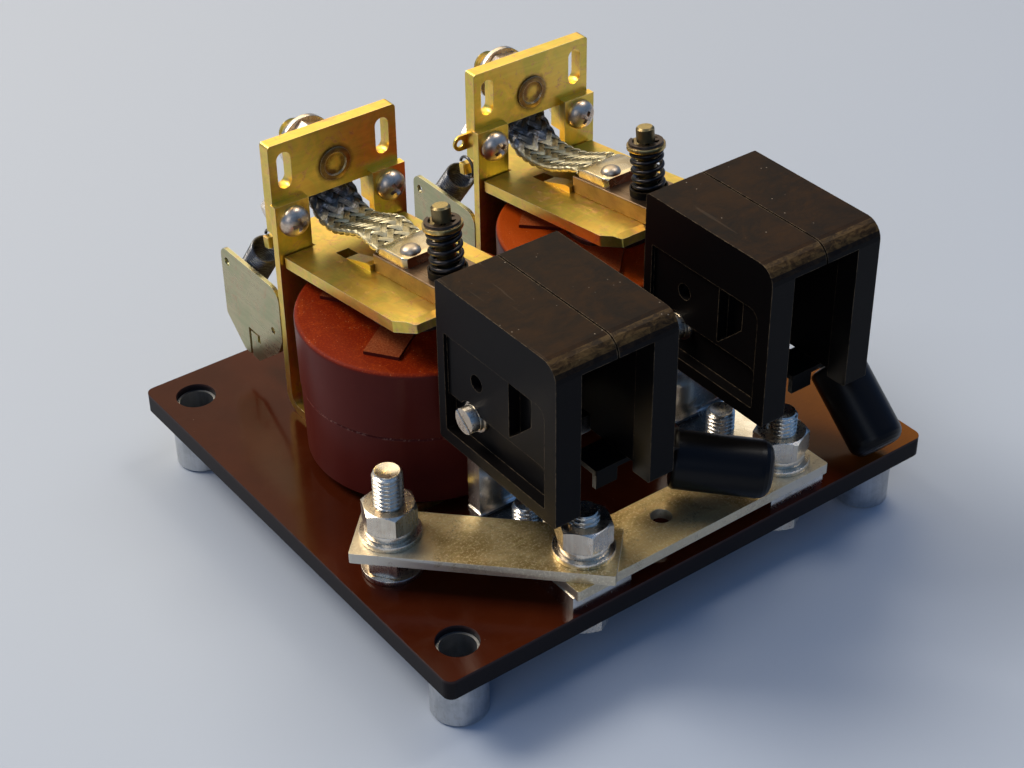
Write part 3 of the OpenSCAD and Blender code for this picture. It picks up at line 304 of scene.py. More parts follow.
@dataclass(frozen=True)
class PlatedMetal:
    """Metal with a thin plating: clouded tints, rolling marks, small stains and brighter edges."""

    name: str
    slot: str
    tints: tuple[Colour, Colour, Colour]
    rough: Pair = (0.26, 0.42)
    cloud_mm: float = 9.0
    grain: Axis = Axis.X
    grain_mm: float = 1.6
    grain_depth_mm: float = 0.004
    stain: Colour = (0.12, 0.09, 0.06)
    stain_share: float = 0.25
    edge: Colour = (0.86, 0.80, 0.62)

    def colour(self, graph: Graph, noises: Noises) -> Signal:
        """Tint of the plating before stains.

        Args:
            graph: The material's graph.
            noises: The surface's noises.

        Returns:
            The colour.
        """
        tint = graph.mix(noises.cloud.step(0.40, 0.62), self.tints[0], self.tints[1])
        tint = graph.mix(noises.bloom.step(0.52, 0.70) * 0.75, tint, self.tints[2])
        rolled = tuple(min(1.0, c * 1.4) for c in self.tints[0])
        return graph.mix(noises.marks.step(0.40, 0.70) * 0.25, tint, rolled)

    def build(self) -> bpy.types.Material:
        """Builds the finish.

        Returns:
            The material.
        """
        graph = Graph(bpy.data.materials.new(self.name))
        cloud = graph.noise(self.cloud_mm, 4, 0.6, twist=0.6)
        bloom = graph.noise(self.cloud_mm * 0.42, 3, 0.6, twist=1.2)
        fine = graph.noise(0.45, 3, 0.7)
        marks = graph.noise(self.grain_mm * 10, 3, 0.7, tuple(1.0 if axis is self.grain else 14.0 for axis in Axis))
        tint = self.colour(graph, Noises(cloud, bloom, marks))
        specks = (fine * 0.45 + bloom * 0.55).step(0.55, 0.68)
        tint = graph.mix(specks * self.stain_share, tint, self.stain)
        tint = graph.mix(graph.edge_mask() * 0.55, tint, self.edge)
        rough = (marks * 0.45 + cloud * 0.3 + fine * 0.25).span(self.rough[0] - 0.06, self.rough[1] + 0.06)
        normal = graph.bump(marks * 0.8 + cloud * 0.2, self.grain_depth_mm, 0.5)
        return graph.surface(tint, rough + specks * 0.15, normal, METAL)


@dataclass(frozen=True)
class StakedPlate(PlatedMetal):
    """Yellow plating of the terminal plates and studs, burnt brown round the staked heads."""

    studs_mm: Pair = (-30.3, 35.7)
    front_mm: float = 43.4
    high_mm: float = 92.9
    burnt: Colour = (0.20, 0.10, 0.045)

    def colour(self, graph: Graph, noises: Noises) -> Signal:
        """Tint with a ragged brown ring round each stud's head.

        Args:
            graph: The material's graph.
            noises: The surface's noises.

        Returns:
            The colour.
        """
        tint = super().colour(graph, noises)
        left, right = self.studs_mm
        across = abs(abs(graph.at(Axis.X) - (left + right) / 2 * MM) - (right - left) / 2 * MM)
        rise = graph.at(Axis.Z) - self.high_mm * MM
        reach = (across * across + rise * rise) ** 0.5 + (noises.bloom - 0.5) * 0.0026
        skin = graph.at(Axis.Y).step((self.front_mm + 2.2) * MM, (self.front_mm + 1.2) * MM)
        ring = reach.step(0.0062, 0.0046) * reach.step(0.0008, 0.0026) * skin
        return graph.mix(ring * (noises.bloom.step(0.2, 0.6) * 0.35 + 0.6), tint, self.burnt)


@dataclass(frozen=True)
class SootAndShadeBar(PlatedMetal):
    """Tinned bar darkened inside the chute by arc soot and painted shade of the chute."""

    soot_and_painted_shade: Colour = (0.030, 0.025, 0.021)
    soot_z: Pair = (55.0, 62.0)
    soot_y: Pair = (36.0, 45.0)

    def colour(self, graph: Graph, noises: Noises) -> Signal:
        """Tint that turns dark towards the contact tips.

        Args:
            graph: The material's graph.
            noises: The surface's noises.

        Returns:
            The colour.
        """
        tint = super().colour(graph, noises)
        # darker high up and at the front, under the chute: arc soot, and also painted shade
        high = graph.at(Axis.Z).step(*(z * MM for z in self.soot_z))
        front = (graph.at(Axis.Y) * -1.0 + (noises.bloom - 0.5) * 0.008).step(*(y * MM for y in self.soot_y))
        return graph.mix(high * front * (noises.bloom * 0.2 + 0.82), tint, self.soot_and_painted_shade)


@dataclass(frozen=True)
class SpeckledBar(PlatedMetal):
    """Tin over rough copper: brown in the hollows, with bright crystals, rubbed pale towards the ends."""

    crystal: Colour = (1.0, 0.85, 0.52)
    pale: Colour = (0.66, 0.61, 0.52)
    left_mm: Pair = (-58.0, -68.0)
    right_mm: Pair = (20.0, 30.0)

    def colour(self, graph: Graph, noises: Noises) -> Signal:
        """Brown and gold tint with crystals.

        Args:
            graph: The material's graph.
            noises: The surface's noises.

        Returns:
            The colour.
        """
        tint = super().colour(graph, noises)
        tint = graph.mix(graph.noise(0.75, 3, 0.8).step(0.52, 0.60) * 0.75, tint, self.crystal)
        x = graph.at(Axis.X) + (noises.bloom - 0.5) * 0.01
        left, right = (x.step(*(end * MM for end in ends)) for ends in (self.left_mm, self.right_mm))
        side = abs(graph.facing(Axis.Z)).step(0.9, 0.6)
        return graph.mix((left + right) * 0.6 + side * 0.6, tint, self.pale)


@dataclass(frozen=True)
class PostBrass(PlatedMetal):
    """Dull brass post, rubbed bright on its end."""

    bright: Colour = (0.50, 0.38, 0.15)

    def colour(self, graph: Graph, noises: Noises) -> Signal:
        """Tint with a brighter end.

        Args:
            graph: The material's graph.
            noises: The surface's noises.

        Returns:
            The colour.
        """
        tint = super().colour(graph, noises)
        up = graph.facing(Axis.Z).step(0.75, 0.93)
        return graph.mix(up * (noises.bloom.step(0.35, 0.6) * 0.4 + 0.6), tint, self.bright)


@dataclass(frozen=True)
class BoardLaminate:
    """Glossy dark laminate with dark sawn edges, painted amber towards its right side as painted light that soaks
    through it.
    """

    name: str = "board_laminate"
    slot: str = "phenolic_board"
    face: Colour = (0.040, 0.0060, 0.0018)
    warm: Colour = (0.070, 0.0130, 0.0032)
    painted_amber_light: Colour = (0.30, 0.086, 0.0030)
    edge: Colour = (0.012, 0.009, 0.009)
    rim: Colour = (0.11, 0.055, 0.045)
    dust: Colour = (0.35, 0.24, 0.17)

    def build(self) -> bpy.types.Material:
        """Builds the finish.

        Returns:
            The material.
        """
        graph = Graph(bpy.data.materials.new(self.name))
        cloud = graph.noise(42, 4, 0.6)
        fibre = graph.noise(3.2, 3, 0.7, (1.0, 4.0, 1.0))
        colour = graph.mix(cloud.step(0.38, 0.66) * 0.5 + fibre * 0.25, self.face, self.warm)
        # painted light: amber towards the right side, where light soaks through the laminate
        painted_soak_light = (graph.at(Axis.X) + graph.at(Axis.Y) * 0.25 + cloud * 0.016).step(0.036, 0.072)
        colour = graph.mix(painted_soak_light * (fibre * 0.3 + 0.6), colour, self.painted_amber_light)
        specks = graph.cells(4.2).step(0.06, 0.025) * graph.noise(14, 2).step(0.52, 0.62)
        smears = graph.noise(17, 5, 0.72, twist=1.5).step(0.5, 0.8)
        colour = graph.mix(specks * 0.35 + smears * 0.02, colour, self.dust)
        level = abs(graph.facing(Axis.Z)).step(0.6, 0.85)
        sawn = graph.noise(1.2, 3, 0.7, (1.0, 1.0, 8.0))
        side = graph.mix(graph.at(Axis.Z).step(0.0208, 0.0218) * (sawn * 0.8 + 0.2) * 0.6, self.edge, self.rim)
        rough = level * (smears * 0.10 + fibre * 0.03 - 0.32) + 0.42 + sawn * 0.06
        normal = graph.bump(graph.noise(0.9, 3, 0.6) * 0.3 + graph.noise(26, 2) * 0.7, 0.03, 0.2)
        return graph.surface(graph.mix(level, side, colour), rough, normal, {"Specular IOR Level": 0.07})


@dataclass(frozen=True)
class PottingResin:
    """Cast coil resin: dark red-brown sides with a seam, orange-red and grainy on top, painted lighter on the second
    unit's top as painted light, pale cast pads.
    """

    name: str = "coil_resin"
    slot: str = "potting_resin"
    side: Colour = (0.125, 0.0190, 0.0120)
    deep: Colour = (0.066, 0.0080, 0.0050)
    scuffed: Colour = (0.36, 0.13, 0.09)
    chalk: Colour = (0.44, 0.22, 0.15)
    top: Colour = (0.175, 0.0120, 0.0014)
    glow: Colour = (0.44, 0.062, 0.0045)
    painted_lit_top: Colour = (0.50, 0.072, 0.0035)
    glint: Colour = (0.85, 0.42, 0.18)
    pad: Colour = (0.21, 0.036, 0.007)
    pale: Colour = (0.40, 0.17, 0.065)
    top_z: float = 66.6
    seam_z: float = 46.0

    def build(self) -> bpy.types.Material:
        """Builds the finish.

        Returns:
            The material.
        """
        graph = Graph(bpy.data.materials.new(self.name))
        z = graph.at(Axis.Z)
        cloud = graph.noise(20, 4, 0.6)
        drip = graph.noise(9, 4, 0.65, (1.0, 1.0, 0.25))
        side = graph.mix(cloud * 0.5 + drip * 0.5, self.deep, self.side)
        scuffs = graph.noise(2.4, 5, 0.75, (1.0, 1.0, 3.0)).step(0.62, 0.78)
        side = graph.mix(scuffs * 0.12, side, self.scuffed)
        seam = abs(z - self.seam_z * MM).step(0.0007, 0.0002)
        side = graph.mix(seam * graph.noise(1.4, 4, 0.8).step(0.50, 0.62) * 0.55, side, self.chalk)
        grain = graph.noise(0.55, 4, 0.75)
        blotch = graph.noise(8, 4, 0.7, twist=1.0)
        top = graph.mix(grain.step(0.50, 0.68) * 0.55 + blotch.step(0.48, 0.72) * 0.35, self.top, self.glow)
        # painted light: tops from x = 6 mm on, the second unit's, are lit orange while the first unit's stays in
        # painted shade
        top = graph.mix(graph.at(Axis.X).step(-0.002, 0.006) * 0.6, top, self.painted_lit_top)
        top = graph.mix(graph.cells(0.9).step(0.16, 0.06) * blotch.step(0.44, 0.56) * 0.6, top, self.glint)
        cast = graph.mix(grain.step(0.40, 0.62) * 0.6 + blotch * 0.3, self.pad, self.pale)
        top = graph.mix(z.step((self.top_z + 0.25) * MM, (self.top_z + 0.6) * MM) * 0.5, top, cast)
        up = graph.facing(Axis.Z).step(0.35, 0.8) * z.step((self.top_z - 2.6) * MM, (self.top_z - 1.4) * MM)
        normal = graph.bump(up * grain + (1 - up) * (drip * 0.3 + grain * 0.05), 0.13, 0.5)
        rough = up * 0.12 + 0.30 + scuffs * 0.15 + drip * 0.05
        return graph.surface(graph.mix(up, side, top), rough, normal, {"Specular IOR Level": 0.07})


@dataclass(frozen=True)
class MouldedBlack:
    """Black moulding with a fine matt skin, rubbed glossy brown where it faces up high, partly as painted warm
    sheen; a painted glint on its upper front bends; bare along its edges, partly as painted edge highlight.
    """

    name: str
    slot: str
    body: Colour = (0.0040, 0.0031, 0.0029)
    wear: float = 1.0
    rough: Pair = (0.30, 0.46)
    skin_mm: float = 0.035
    shine: float = 0.065
    # brown of rubbed tops, which also stands in as painted warm sheen
    worn: Colour = (0.034, 0.0138, 0.0038)
    speck: Colour = (0.45, 0.36, 0.26)
    scratch: Colour = (0.26, 0.18, 0.11)
    # colour of the painted glint on the upper front bends
    painted_bend_glint: Colour = (0.135, 0.078, 0.026)
    # colour of the edges: wear, and also painted edge highlight
    edge: Colour = (0.26, 0.18, 0.10)
    worn_above: float = 74.0

    def build(self) -> bpy.types.Material:
        """Builds the finish.

        Returns:
            The material.
        """
        graph = Graph(bpy.data.materials.new(self.name))
        high = graph.at(Axis.Z).step(self.worn_above * MM, (self.worn_above + 6) * MM)
        up = graph.facing(Axis.Z).step(0.25, 0.9) * high
        patch = graph.noise(13, 5, 0.7, twist=0.8)
        fine = graph.noise(0.8, 4, 0.7)
        rub = graph.noise(3.4, 5, 0.75, (1.0, 2.2, 1.0), 0.7)
        # upward faces high up turn brown: wear, and also painted warm sheen
        worn = up * (patch.step(0.30, 0.70) * 0.55 + rub.step(0.40, 0.75) * 0.35 + 0.1) * self.wear
        colour = graph.mix(worn, self.body, self.worn)
        specks = graph.cells(2.6).step(0.09, 0.03) * graph.noise(9, 2).step(0.48, 0.62)
        colour = graph.mix(specks * up * 0.7 * self.wear, colour, self.speck)
        scratch = graph.noise(34, 2, 0.5, (22.0, 1.0, 4.0)).step(0.685, 0.72) * up * self.wear
        colour = graph.mix(scratch * 0.08, colour, self.scratch)
        # painted highlight: a glint on the upper front bends, where a face turns from up towards the front
        painted_bend_glint = (graph.facing(Axis.Y) * -1.0).step(0.12, 0.42) * graph.facing(Axis.Z).step(0.30, 0.62)
        colour = graph.mix(painted_bend_glint * high * (rub.step(0.38, 0.66) * 0.6 + 0.12) * self.wear, colour, self.painted_bend_glint)
        # lighter along the edges: wear, and also painted edge highlight
        colour = graph.mix(graph.edge_mask() * (rub.step(0.38, 0.62) * 0.7 + 0.1) * self.wear, colour, self.edge)
        rough = (fine * 0.5 + rub * 0.5).span(*self.rough) + worn * 0.04 + up * 0.04
        normal = graph.bump(fine * 0.45 + rub * 0.35 + scratch * 0.2, self.skin_mm, 0.4)
        return graph.surface(colour, rough, normal, {"Specular IOR Level": self.shine})


@dataclass(frozen=True)
class WireMetal:
    """Drawn wire with a clouded tint along its run."""

    name: str
    slot: str
    tint: Colour
    other: Colour
    rough: Pair = (0.25, 0.4)
    metallic: float = 1.0

    def build(self) -> bpy.types.Material:
        """Builds the finish.

        Returns:
            The material.
        """
        graph = Graph(bpy.data.materials.new(self.name))
        cloud = graph.noise(3.5, 4, 0.65, twist=0.8)
        fine = graph.noise(0.35, 3, 0.7)
        colour = graph.mix((cloud * 0.7 + fine * 0.3).step(0.45, 0.7), self.tint, self.other)
        rough = (cloud * 0.6 + fine * 0.4).span(*self.rough)
        return graph.surface(colour, rough, graph.bump(fine, 0.02, 0.4), {"Metallic": self.metallic})


@dataclass(frozen=True)
class BraidWire:
    """Tinned copper strands with a cream cast, darker where they pass the notch: tarnish, and also painted shade
    behind the plate.
    """

    name: str = "braid_wire"
    slot: str = "tinned_braid"
    tin: Colour = (0.78, 0.68, 0.44)
    warm: Colour = (0.52, 0.42, 0.22)
    dark_tarnish_and_shade: Colour = (0.085, 0.082, 0.085)
    silver: Colour = (0.42, 0.42, 0.43)

    def build(self) -> bpy.types.Material:
        """Builds the finish.

        Returns:
            The material.
        """
        graph = Graph(bpy.data.materials.new(self.name))
        cloud = graph.noise(3.4, 4, 0.65, twist=0.8)
        fine = graph.noise(0.4, 3, 0.7)
        colour = graph.mix((cloud * 0.6 + fine * 0.4).step(0.42, 0.66), self.tin, self.warm)
        # darker towards the rear near the notch: tarnish, and also painted shade where the braid turns up behind the
        # plate
        tarnish_and_painted_shade = (graph.at(Axis.Y) + cloud * 0.008 - 0.004).step(0.0375, 0.044)
        colour = graph.mix(tarnish_and_painted_shade * 0.9, colour, graph.mix(cloud.step(0.50, 0.62), self.dark_tarnish_and_shade, self.silver))
        rough = (cloud * 0.5 + fine * 0.5).span(0.24, 0.40)
        return graph.surface(colour, rough, graph.bump(fine, 0.01, 0.3), METAL)


@dataclass(frozen=True)
class PressedTab:
    """Pressed end of the braid: tinned and rubbed smooth, bare copper where it was cut off."""

    name: str = "pressed_tab"
    slot: str = "bare_copper"
    tin: Colour = (0.84, 0.70, 0.47)
    warm: Colour = (0.68, 0.53, 0.31)
    copper: Colour = (0.52, 0.17, 0.085)
    rivet: Colour = (0.56, 0.45, 0.33)

    def build(self) -> bpy.types.Material:
        """Builds the finish.

        Returns:
            The material.
        """
        graph = Graph(bpy.data.materials.new(self.name))
        cloud = graph.noise(4.5, 4, 0.65, twist=0.7)
        weave = graph.noise(0.8, 3, 0.6, (1.0, 0.4, 1.0))
        colour = graph.mix(cloud.step(0.4, 0.66), self.tin, self.warm)
        cut = (graph.facing(Axis.Y) * -1.0).step(0.55, 0.85)
        colour = graph.mix(cut * (cloud.step(0.30, 0.55) * 0.35 + 0.6), colour, self.copper)
        domed = LAYOUT.armature_height(graph).step(0.01145, 0.0117)
        rough = (cloud * 0.5 + weave * 0.5).span(0.2, 0.36) + domed * 0.14
        normal = graph.bump(weave * 0.6 + cloud * 0.4, 0.03, 0.35)
        return graph.surface(graph.mix(domed, colour, self.rivet), rough, normal, METAL)


@dataclass(frozen=True)
class ClipBrass:
    """Brass washer over the contact spring, and the dark sprung clip above it."""

    name: str = "clip_brass"
    slot: str = "brass"
    washer: Colour = (0.42, 0.29, 0.10)
    worn: Colour = (0.62, 0.46, 0.19)
    clip: Colour = (0.060, 0.040, 0.028)
    rubbed: Colour = (0.11, 0.075, 0.05)
    clip_z: float = 22.9

    def build(self) -> bpy.types.Material:
        """Builds the finish.

        Returns:
            The material.
        """
        graph = Graph(bpy.data.materials.new(self.name))
        cloud = graph.noise(2.2, 4, 0.65, twist=0.7)
        fine = graph.noise(0.4, 3, 0.7)
        brass = graph.mix(cloud.step(0.42, 0.62), self.washer, self.worn)
        upper = LAYOUT.armature_height(graph).step((self.clip_z - 0.04) * MM, (self.clip_z + 0.04) * MM)
        colour = graph.mix(upper, brass, graph.mix(fine, self.clip, self.rubbed))
        rough = (cloud * 0.5 + fine * 0.5).span(0.24, 0.42)
        return graph.surface(colour, rough, graph.bump(fine, 0.008, 0.4), METAL)


@dataclass(frozen=True)
class TableTop:
    """Pale grey table top with a barely visible cloud, painted bluer towards the front as painted shade and paler
    towards the rear as painted light.
    """

    name: str = "table_top"
    slot: str = ""
    tint: Colour = (0.41, 0.455, 0.52)
    pale: Colour = (0.455, 0.475, 0.50)

    def build(self) -> bpy.types.Material:
        """Builds the finish.

        Returns:
            The material.
        """
        graph = Graph(bpy.data.materials.new(self.name))
        # painted light and shade: bluer towards the front, paler towards the rear, with a faint cloud
        painted_light_and_cloud = graph.at(Axis.Y).step(-0.35, 0.35) * 0.8 + graph.noise(240, 3, 0.5) * 0.2
        return graph.surface(graph.mix(painted_light_and_cloud, self.tint, self.pale), 0.62)


class Finishes:
    """Every finish of the object, built once."""

    def __init__(self) -> None:
        """Builds the materials."""
        gold = ((0.91, 0.585, 0.115), (0.70, 0.525, 0.100), (0.84, 0.44, 0.19))
        pale = ((0.46, 0.41, 0.24), (0.38, 0.38, 0.21), (0.52, 0.37, 0.22))
        plated = (
            StakedPlate("gold_zinc", "yellow_zinc", gold),
            PlatedMetal("gold_zinc_upright", "yellow_zinc", gold, grain=Axis.Z),
            PlatedMetal("gold_zinc_long", "yellow_zinc", gold, grain=Axis.Y),
            PlatedMetal("pale_zinc", "yellow_zinc", pale, (0.22, 0.36), grain=Axis.Y, stain_share=0.15),
            SpeckledBar(
                "tinned_bar", "tinned_copper", ((0.86, 0.64, 0.31), (0.50, 0.33, 0.12), (0.78, 0.58, 0.29)),
                (0.38, 0.54), 13, grain_depth_mm=0.010, stain=(0.18, 0.10, 0.03), stain_share=0.5,
                edge=(0.80, 0.76, 0.66),
            ),
            SootAndShadeBar(
                "fixed_tin", "tinned_copper", ((0.80, 0.76, 0.70), (0.58, 0.53, 0.46), (0.72, 0.63, 0.50)),
                (0.14, 0.26), 9, Axis.Z, 5, 0.03, stain_share=0.2,
            ),
            SootAndShadeBar(
                "tinned_bar_long", "tinned_copper", ((0.27, 0.18, 0.11), (0.19, 0.12, 0.072), (0.285, 0.162, 0.09)),
                (0.28, 0.42), 11, Axis.Y,
            ),
            PlatedMetal(
                "bright_zinc", "bright_zinc", ((0.80, 0.70, 0.58), (0.63, 0.54, 0.43), (0.71, 0.57, 0.43)),
                (0.22, 0.34), 8, Axis.Z, grain_depth_mm=0.0015, stain_share=0.12,
            ),
            PlatedMetal(
                "warm_zinc", "bright_zinc", ((0.78, 0.62, 0.50), (0.70, 0.54, 0.34), (0.72, 0.50, 0.42)),
                (0.22, 0.34), 7, Axis.Z, grain_depth_mm=0.002, stain_share=0.08,
            ),
            PlatedMetal(
                "turned_aluminium", "aluminium", ((0.50, 0.51, 0.52), (0.40, 0.41, 0.42), (0.46, 0.46, 0.45)),
                (0.3, 0.46), 6, Axis.Z, grain_depth_mm=0.006, stain_share=0.2,
            ),
            PlatedMetal(
                "nickel", "nickel", ((0.78, 0.60, 0.44), (0.52, 0.39, 0.28), (0.66, 0.47, 0.32)),
                (0.28, 0.40), 4, grain_depth_mm=0.003, stain_share=0.35,
            ),
            PlatedMetal(
                "plain_steel", "plain_steel", ((0.22, 0.205, 0.19), (0.16, 0.15, 0.14), (0.20, 0.165, 0.13)),
                (0.3, 0.45), 7,
            ),
            PostBrass(
                "dull_brass", "brass", ((0.24, 0.175, 0.075), (0.17, 0.125, 0.06), (0.28, 0.18, 0.08)),
                (0.3, 0.46), 3, Axis.Z, stain_share=0.5, edge=(0.42, 0.33, 0.16),
            ),
            # near-black tints of the contact tips: arc soot, and also painted shade of the chute over them
            PlatedMetal(
                "silver_tip", "silver_tip", ((0.14, 0.125, 0.11), (0.055, 0.05, 0.046), (0.10, 0.075, 0.055)),
                (0.4, 0.6), 4, stain=(0.02, 0.018, 0.016), stain_share=0.7, edge=(0.30, 0.27, 0.24),
            ),
        )
        others = (
            BoardLaminate(),
            PottingResin(),
            MouldedBlack("chute_black", "black_phenolic"),
            MouldedBlack("grip_black", "gloss_black", (0.0042, 0.0030, 0.0025), 0.1, (0.26, 0.36), 0.06, 0.17),
            MouldedBlack("black_steel", "black_steel", (0.0045, 0.0042, 0.0042), 0.3, (0.25, 0.4)),
            ClipBrass(),
            WireMetal("spring_wire", "black_steel", (0.020, 0.017, 0.016), (0.075, 0.058, 0.047), metallic=0.8),
            WireMetal("return_wire", "black_steel", (0.10, 0.098, 0.10), (0.30, 0.29, 0.285), (0.24, 0.34)),
            # dark material for the braid's core, which stands in as painted shade inside the braid
            WireMetal("braid_shade_core", "tinned_braid", (0.035, 0.028, 0.018), (0.085, 0.070, 0.045)),
            BraidWire(),
            PressedTab(),
            TableTop(),
        )
        self._made = {finish.name: (finish.build(), finish.slot) for finish in (*others, *plated)}

    def put(self, obj: bpy.types.Object, name: str) -> None:
        """Gives a piece its finish.

        Args:
            obj: The piece.
            name: The finish's name.
        """
        material, slot = self._made[name]
        obj.data.materials.clear()
        obj.data.materials.append(material)
        slot and "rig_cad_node" not in obj
        log.info("%s: %s, %d faces", obj.name, name, len(obj.data.polygons))

    def mount(self, obj: bpy.types.Object, name: str, body: str, node: str) -> None:
        """Dresses a rigid piece, lets it ride and puts it in a node's place.

        Args:
            obj: The piece.
            name: The finish's name.
            body: The body that carries it.
            node: The node that it stands for.
        """
        self.put(obj, name)
        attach(obj, body)
        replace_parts(obj, node)


# ---------------------------------------------------------------- mesh building


class Mesh:
    """Vertices and faces of one piece, in millimetres of the part's frame."""

    def __init__(self) -> None:
        """Starts an empty mesh."""
        self.points: list[Vector] = []
        self.faces: list[tuple[int, ...]] = []

    def rings(self, rows: list[Ring], place: Matrix | None = None) -> None:
        """Adds a skin over rings of equal count, capped at both ends.

        Args:
            rows: The rings, in order.
            place: Where the skin goes.
        """
        start, n = len(self.points), len(rows[0])
        matrix = place or Matrix.Identity(4)
        self.points += [matrix @ Vector(p) for row in rows for p in row]
        end = len(self.points)
        for r in range(start, end - n, n):
            self.faces += [(r + i, r + (i + 1) % n, r + n + (i + 1) % n, r + n + i) for i in range(n)]
        self.faces += [tuple(reversed(range(start, start + n))), tuple(range(end - n, end))]

    def object(self, name: str, sharp: float = 35.0) -> bpy.types.Object:
        """Makes the Blender object.

        Args:
            name: The piece's name.
            sharp: Angle in degrees above which an edge stays sharp.

        Returns:
            The piece.
        """
        data = bpy.data.meshes.new(name)
        data.from_pydata([[c * MM for c in p] for p in self.points], [], self.faces)
        data.validate()
        obj = bpy.data.objects.new(name, data)
        bpy.context.scene.collection.objects.link(obj)
        smooth(obj, sharp)
        return obj


def smooth(obj: bpy.types.Object, sharp: float) -> None:
    """Shades a piece smooth with sharp edges above an angle.

    Args:
        obj: The piece.
        sharp: The angle in degrees.
    """
    obj.data.polygons.foreach_set("use_smooth", [True] * len(obj.data.polygons))
    obj.data.set_sharp_from_angle(angle=math.radians(sharp))
    obj.data.update()


def joined(name: str, parts: list[bpy.types.Object]) -> bpy.types.Object:
    """Joins loose objects into one piece.

    Args:
        name: The piece's name.
        parts: The objects.

    Returns:
        The piece.
    """
    with bpy.context.temp_override(active_object=parts[0], selected_editable_objects=parts):
        bpy.ops.object.join()
    parts[0].name = parts[0].data.name = name
    return parts[0]


def tube_rings(path: list[Vector], wide: float, thick: float, sides: int) -> list[Ring]:
    """Sections of a wire carried along a path without twist.

    Args:
        path: The points.
        wide: Half-width along the side vector.
        thick: Half-thickness across it.
        sides: Points in a section.

    Returns:
        One ring of points at each point of the path.
    """
    k = len(path) - 1
    side = None
    rows = []
    for i, p in enumerate(path):
        along = (path[min(i + 1, k)] - path[max(i - 1, 0)]).normalized()
        if side is None:
            side = along.cross(Vector((0, 0, 1)) if abs(along.z) < 0.8 else Vector((1, 0, 0)))
        side = (side - along * along.dot(side)).normalized()
        up = along.cross(side)
        turns = (math.tau * j / sides for j in range(sides))
        rows.append([tuple(p + side * wide * math.cos(a) + up * thick * math.sin(a)) for a in turns])
    return rows


def moved(x: float, y: float, z: float, turn: Matrix | None = None) -> Matrix:
    """A place in the part's frame, with an optional turn first."""
    return Matrix.Translation((x, y, z)) @ (turn.to_4x4() if turn else Matrix.Identity(4))


def facing_y(sign: int) -> Matrix:
    """A turn that brings +Z to +Y or -Y."""
    return Matrix.Rotation(math.radians(-90 * sign), 3, "X")


def polar(radius: float, angle: float, z: float) -> Point:
    """A point at a distance from the Z axis, an angle and a height."""
    return (radius * math.cos(angle), radius * math.sin(angle), z)


def circle(radius: float, z: float, count: int) -> Ring:
    """Ring of points on the Z axis."""
    return [polar(radius, math.tau * i / count, z) for i in range(count)]


@dataclass(frozen=True)
class Thread:
    """Outside thread of a stud, with a bevelled start and a dished end."""

    radius: float
    pitch: float
    segments: int = 36
    play: float = 0.02
    bevel: float = 0.75
    depth: float = 0.6
    turn_steps: int = 9

    def rows(self, low: float, high: float, plain_to: float, dish: float) -> list[Ring]:
        """Rings of the threaded stud.

        Args:
            low: Height of its lower end.
            high: Height of its free end.
            plain_to: Height up to which the shank has no thread.
            dish: Depth of the hollow in the free end.

        Returns:
            The rings from low to high, then over the end.
        """
        n, outer = self.segments, self.radius - self.play
        steps = max(2, int((high - plain_to) / self.pitch * self.turn_steps))
        rows = [circle(outer, low, n), circle(outer, plain_to, n)]
        for s in range(steps + 1):
            z = plain_to + (high - plain_to) * s / steps
            ease = min(1.0, (z - plain_to) / self.pitch)
            start = self.radius - max(0.0, z - (high - self.bevel)) * 0.95
            row = []
            for i in range(n):
                phase = (z / self.pitch - i / n) % 1.0
                cut = min(1.0, max(0.0, 1.25 - abs(phase - 0.5) * 2 * 1.35))
                ridge = outer - self.depth * self.pitch * cut * ease
                row.append(polar(min(ridge, start), math.tau * (i / n), z))
            rows.append(row)
        end = self.radius - self.bevel
        over = ((end - 0.35, 0.05), (end * 0.55, dish * 0.8), (end * 0.12, dish))
        return rows + [circle(radius, high - drop, n) for radius, drop in over]


@dataclass(frozen=True)
class HexHead:
    """Hexagonal head with a turned bevel on its lower face."""

    across: float
    height: float
    segments: int = 72
    rim_share: float = 0.97
    slope: float = 0.55

    def rows(self, low: float) -> list[Ring]:
        """Rings of the head.

        Args:
            low: Height of its lower face.

        Returns:
            The rings from below.
        """
        rim = self.across / 2 * self.rim_share
        edge = []
        for i in range(self.segments):
            a = math.tau * i / self.segments
            off = (a + math.pi / 6) % (math.pi / 3) - math.pi / 6
            edge.append((self.across / 2 / math.cos(off), a))
        return [
            [polar(min(r, rim) * 0.5, a, low) for r, a in edge],
            [polar(min(r, rim), a, low) for r, a in edge],
            [polar(r, a, low + max(0.0, r - rim) * self.slope) for r, a in edge],
            [polar(r, a, low + self.height) for r, a in edge],
        ]


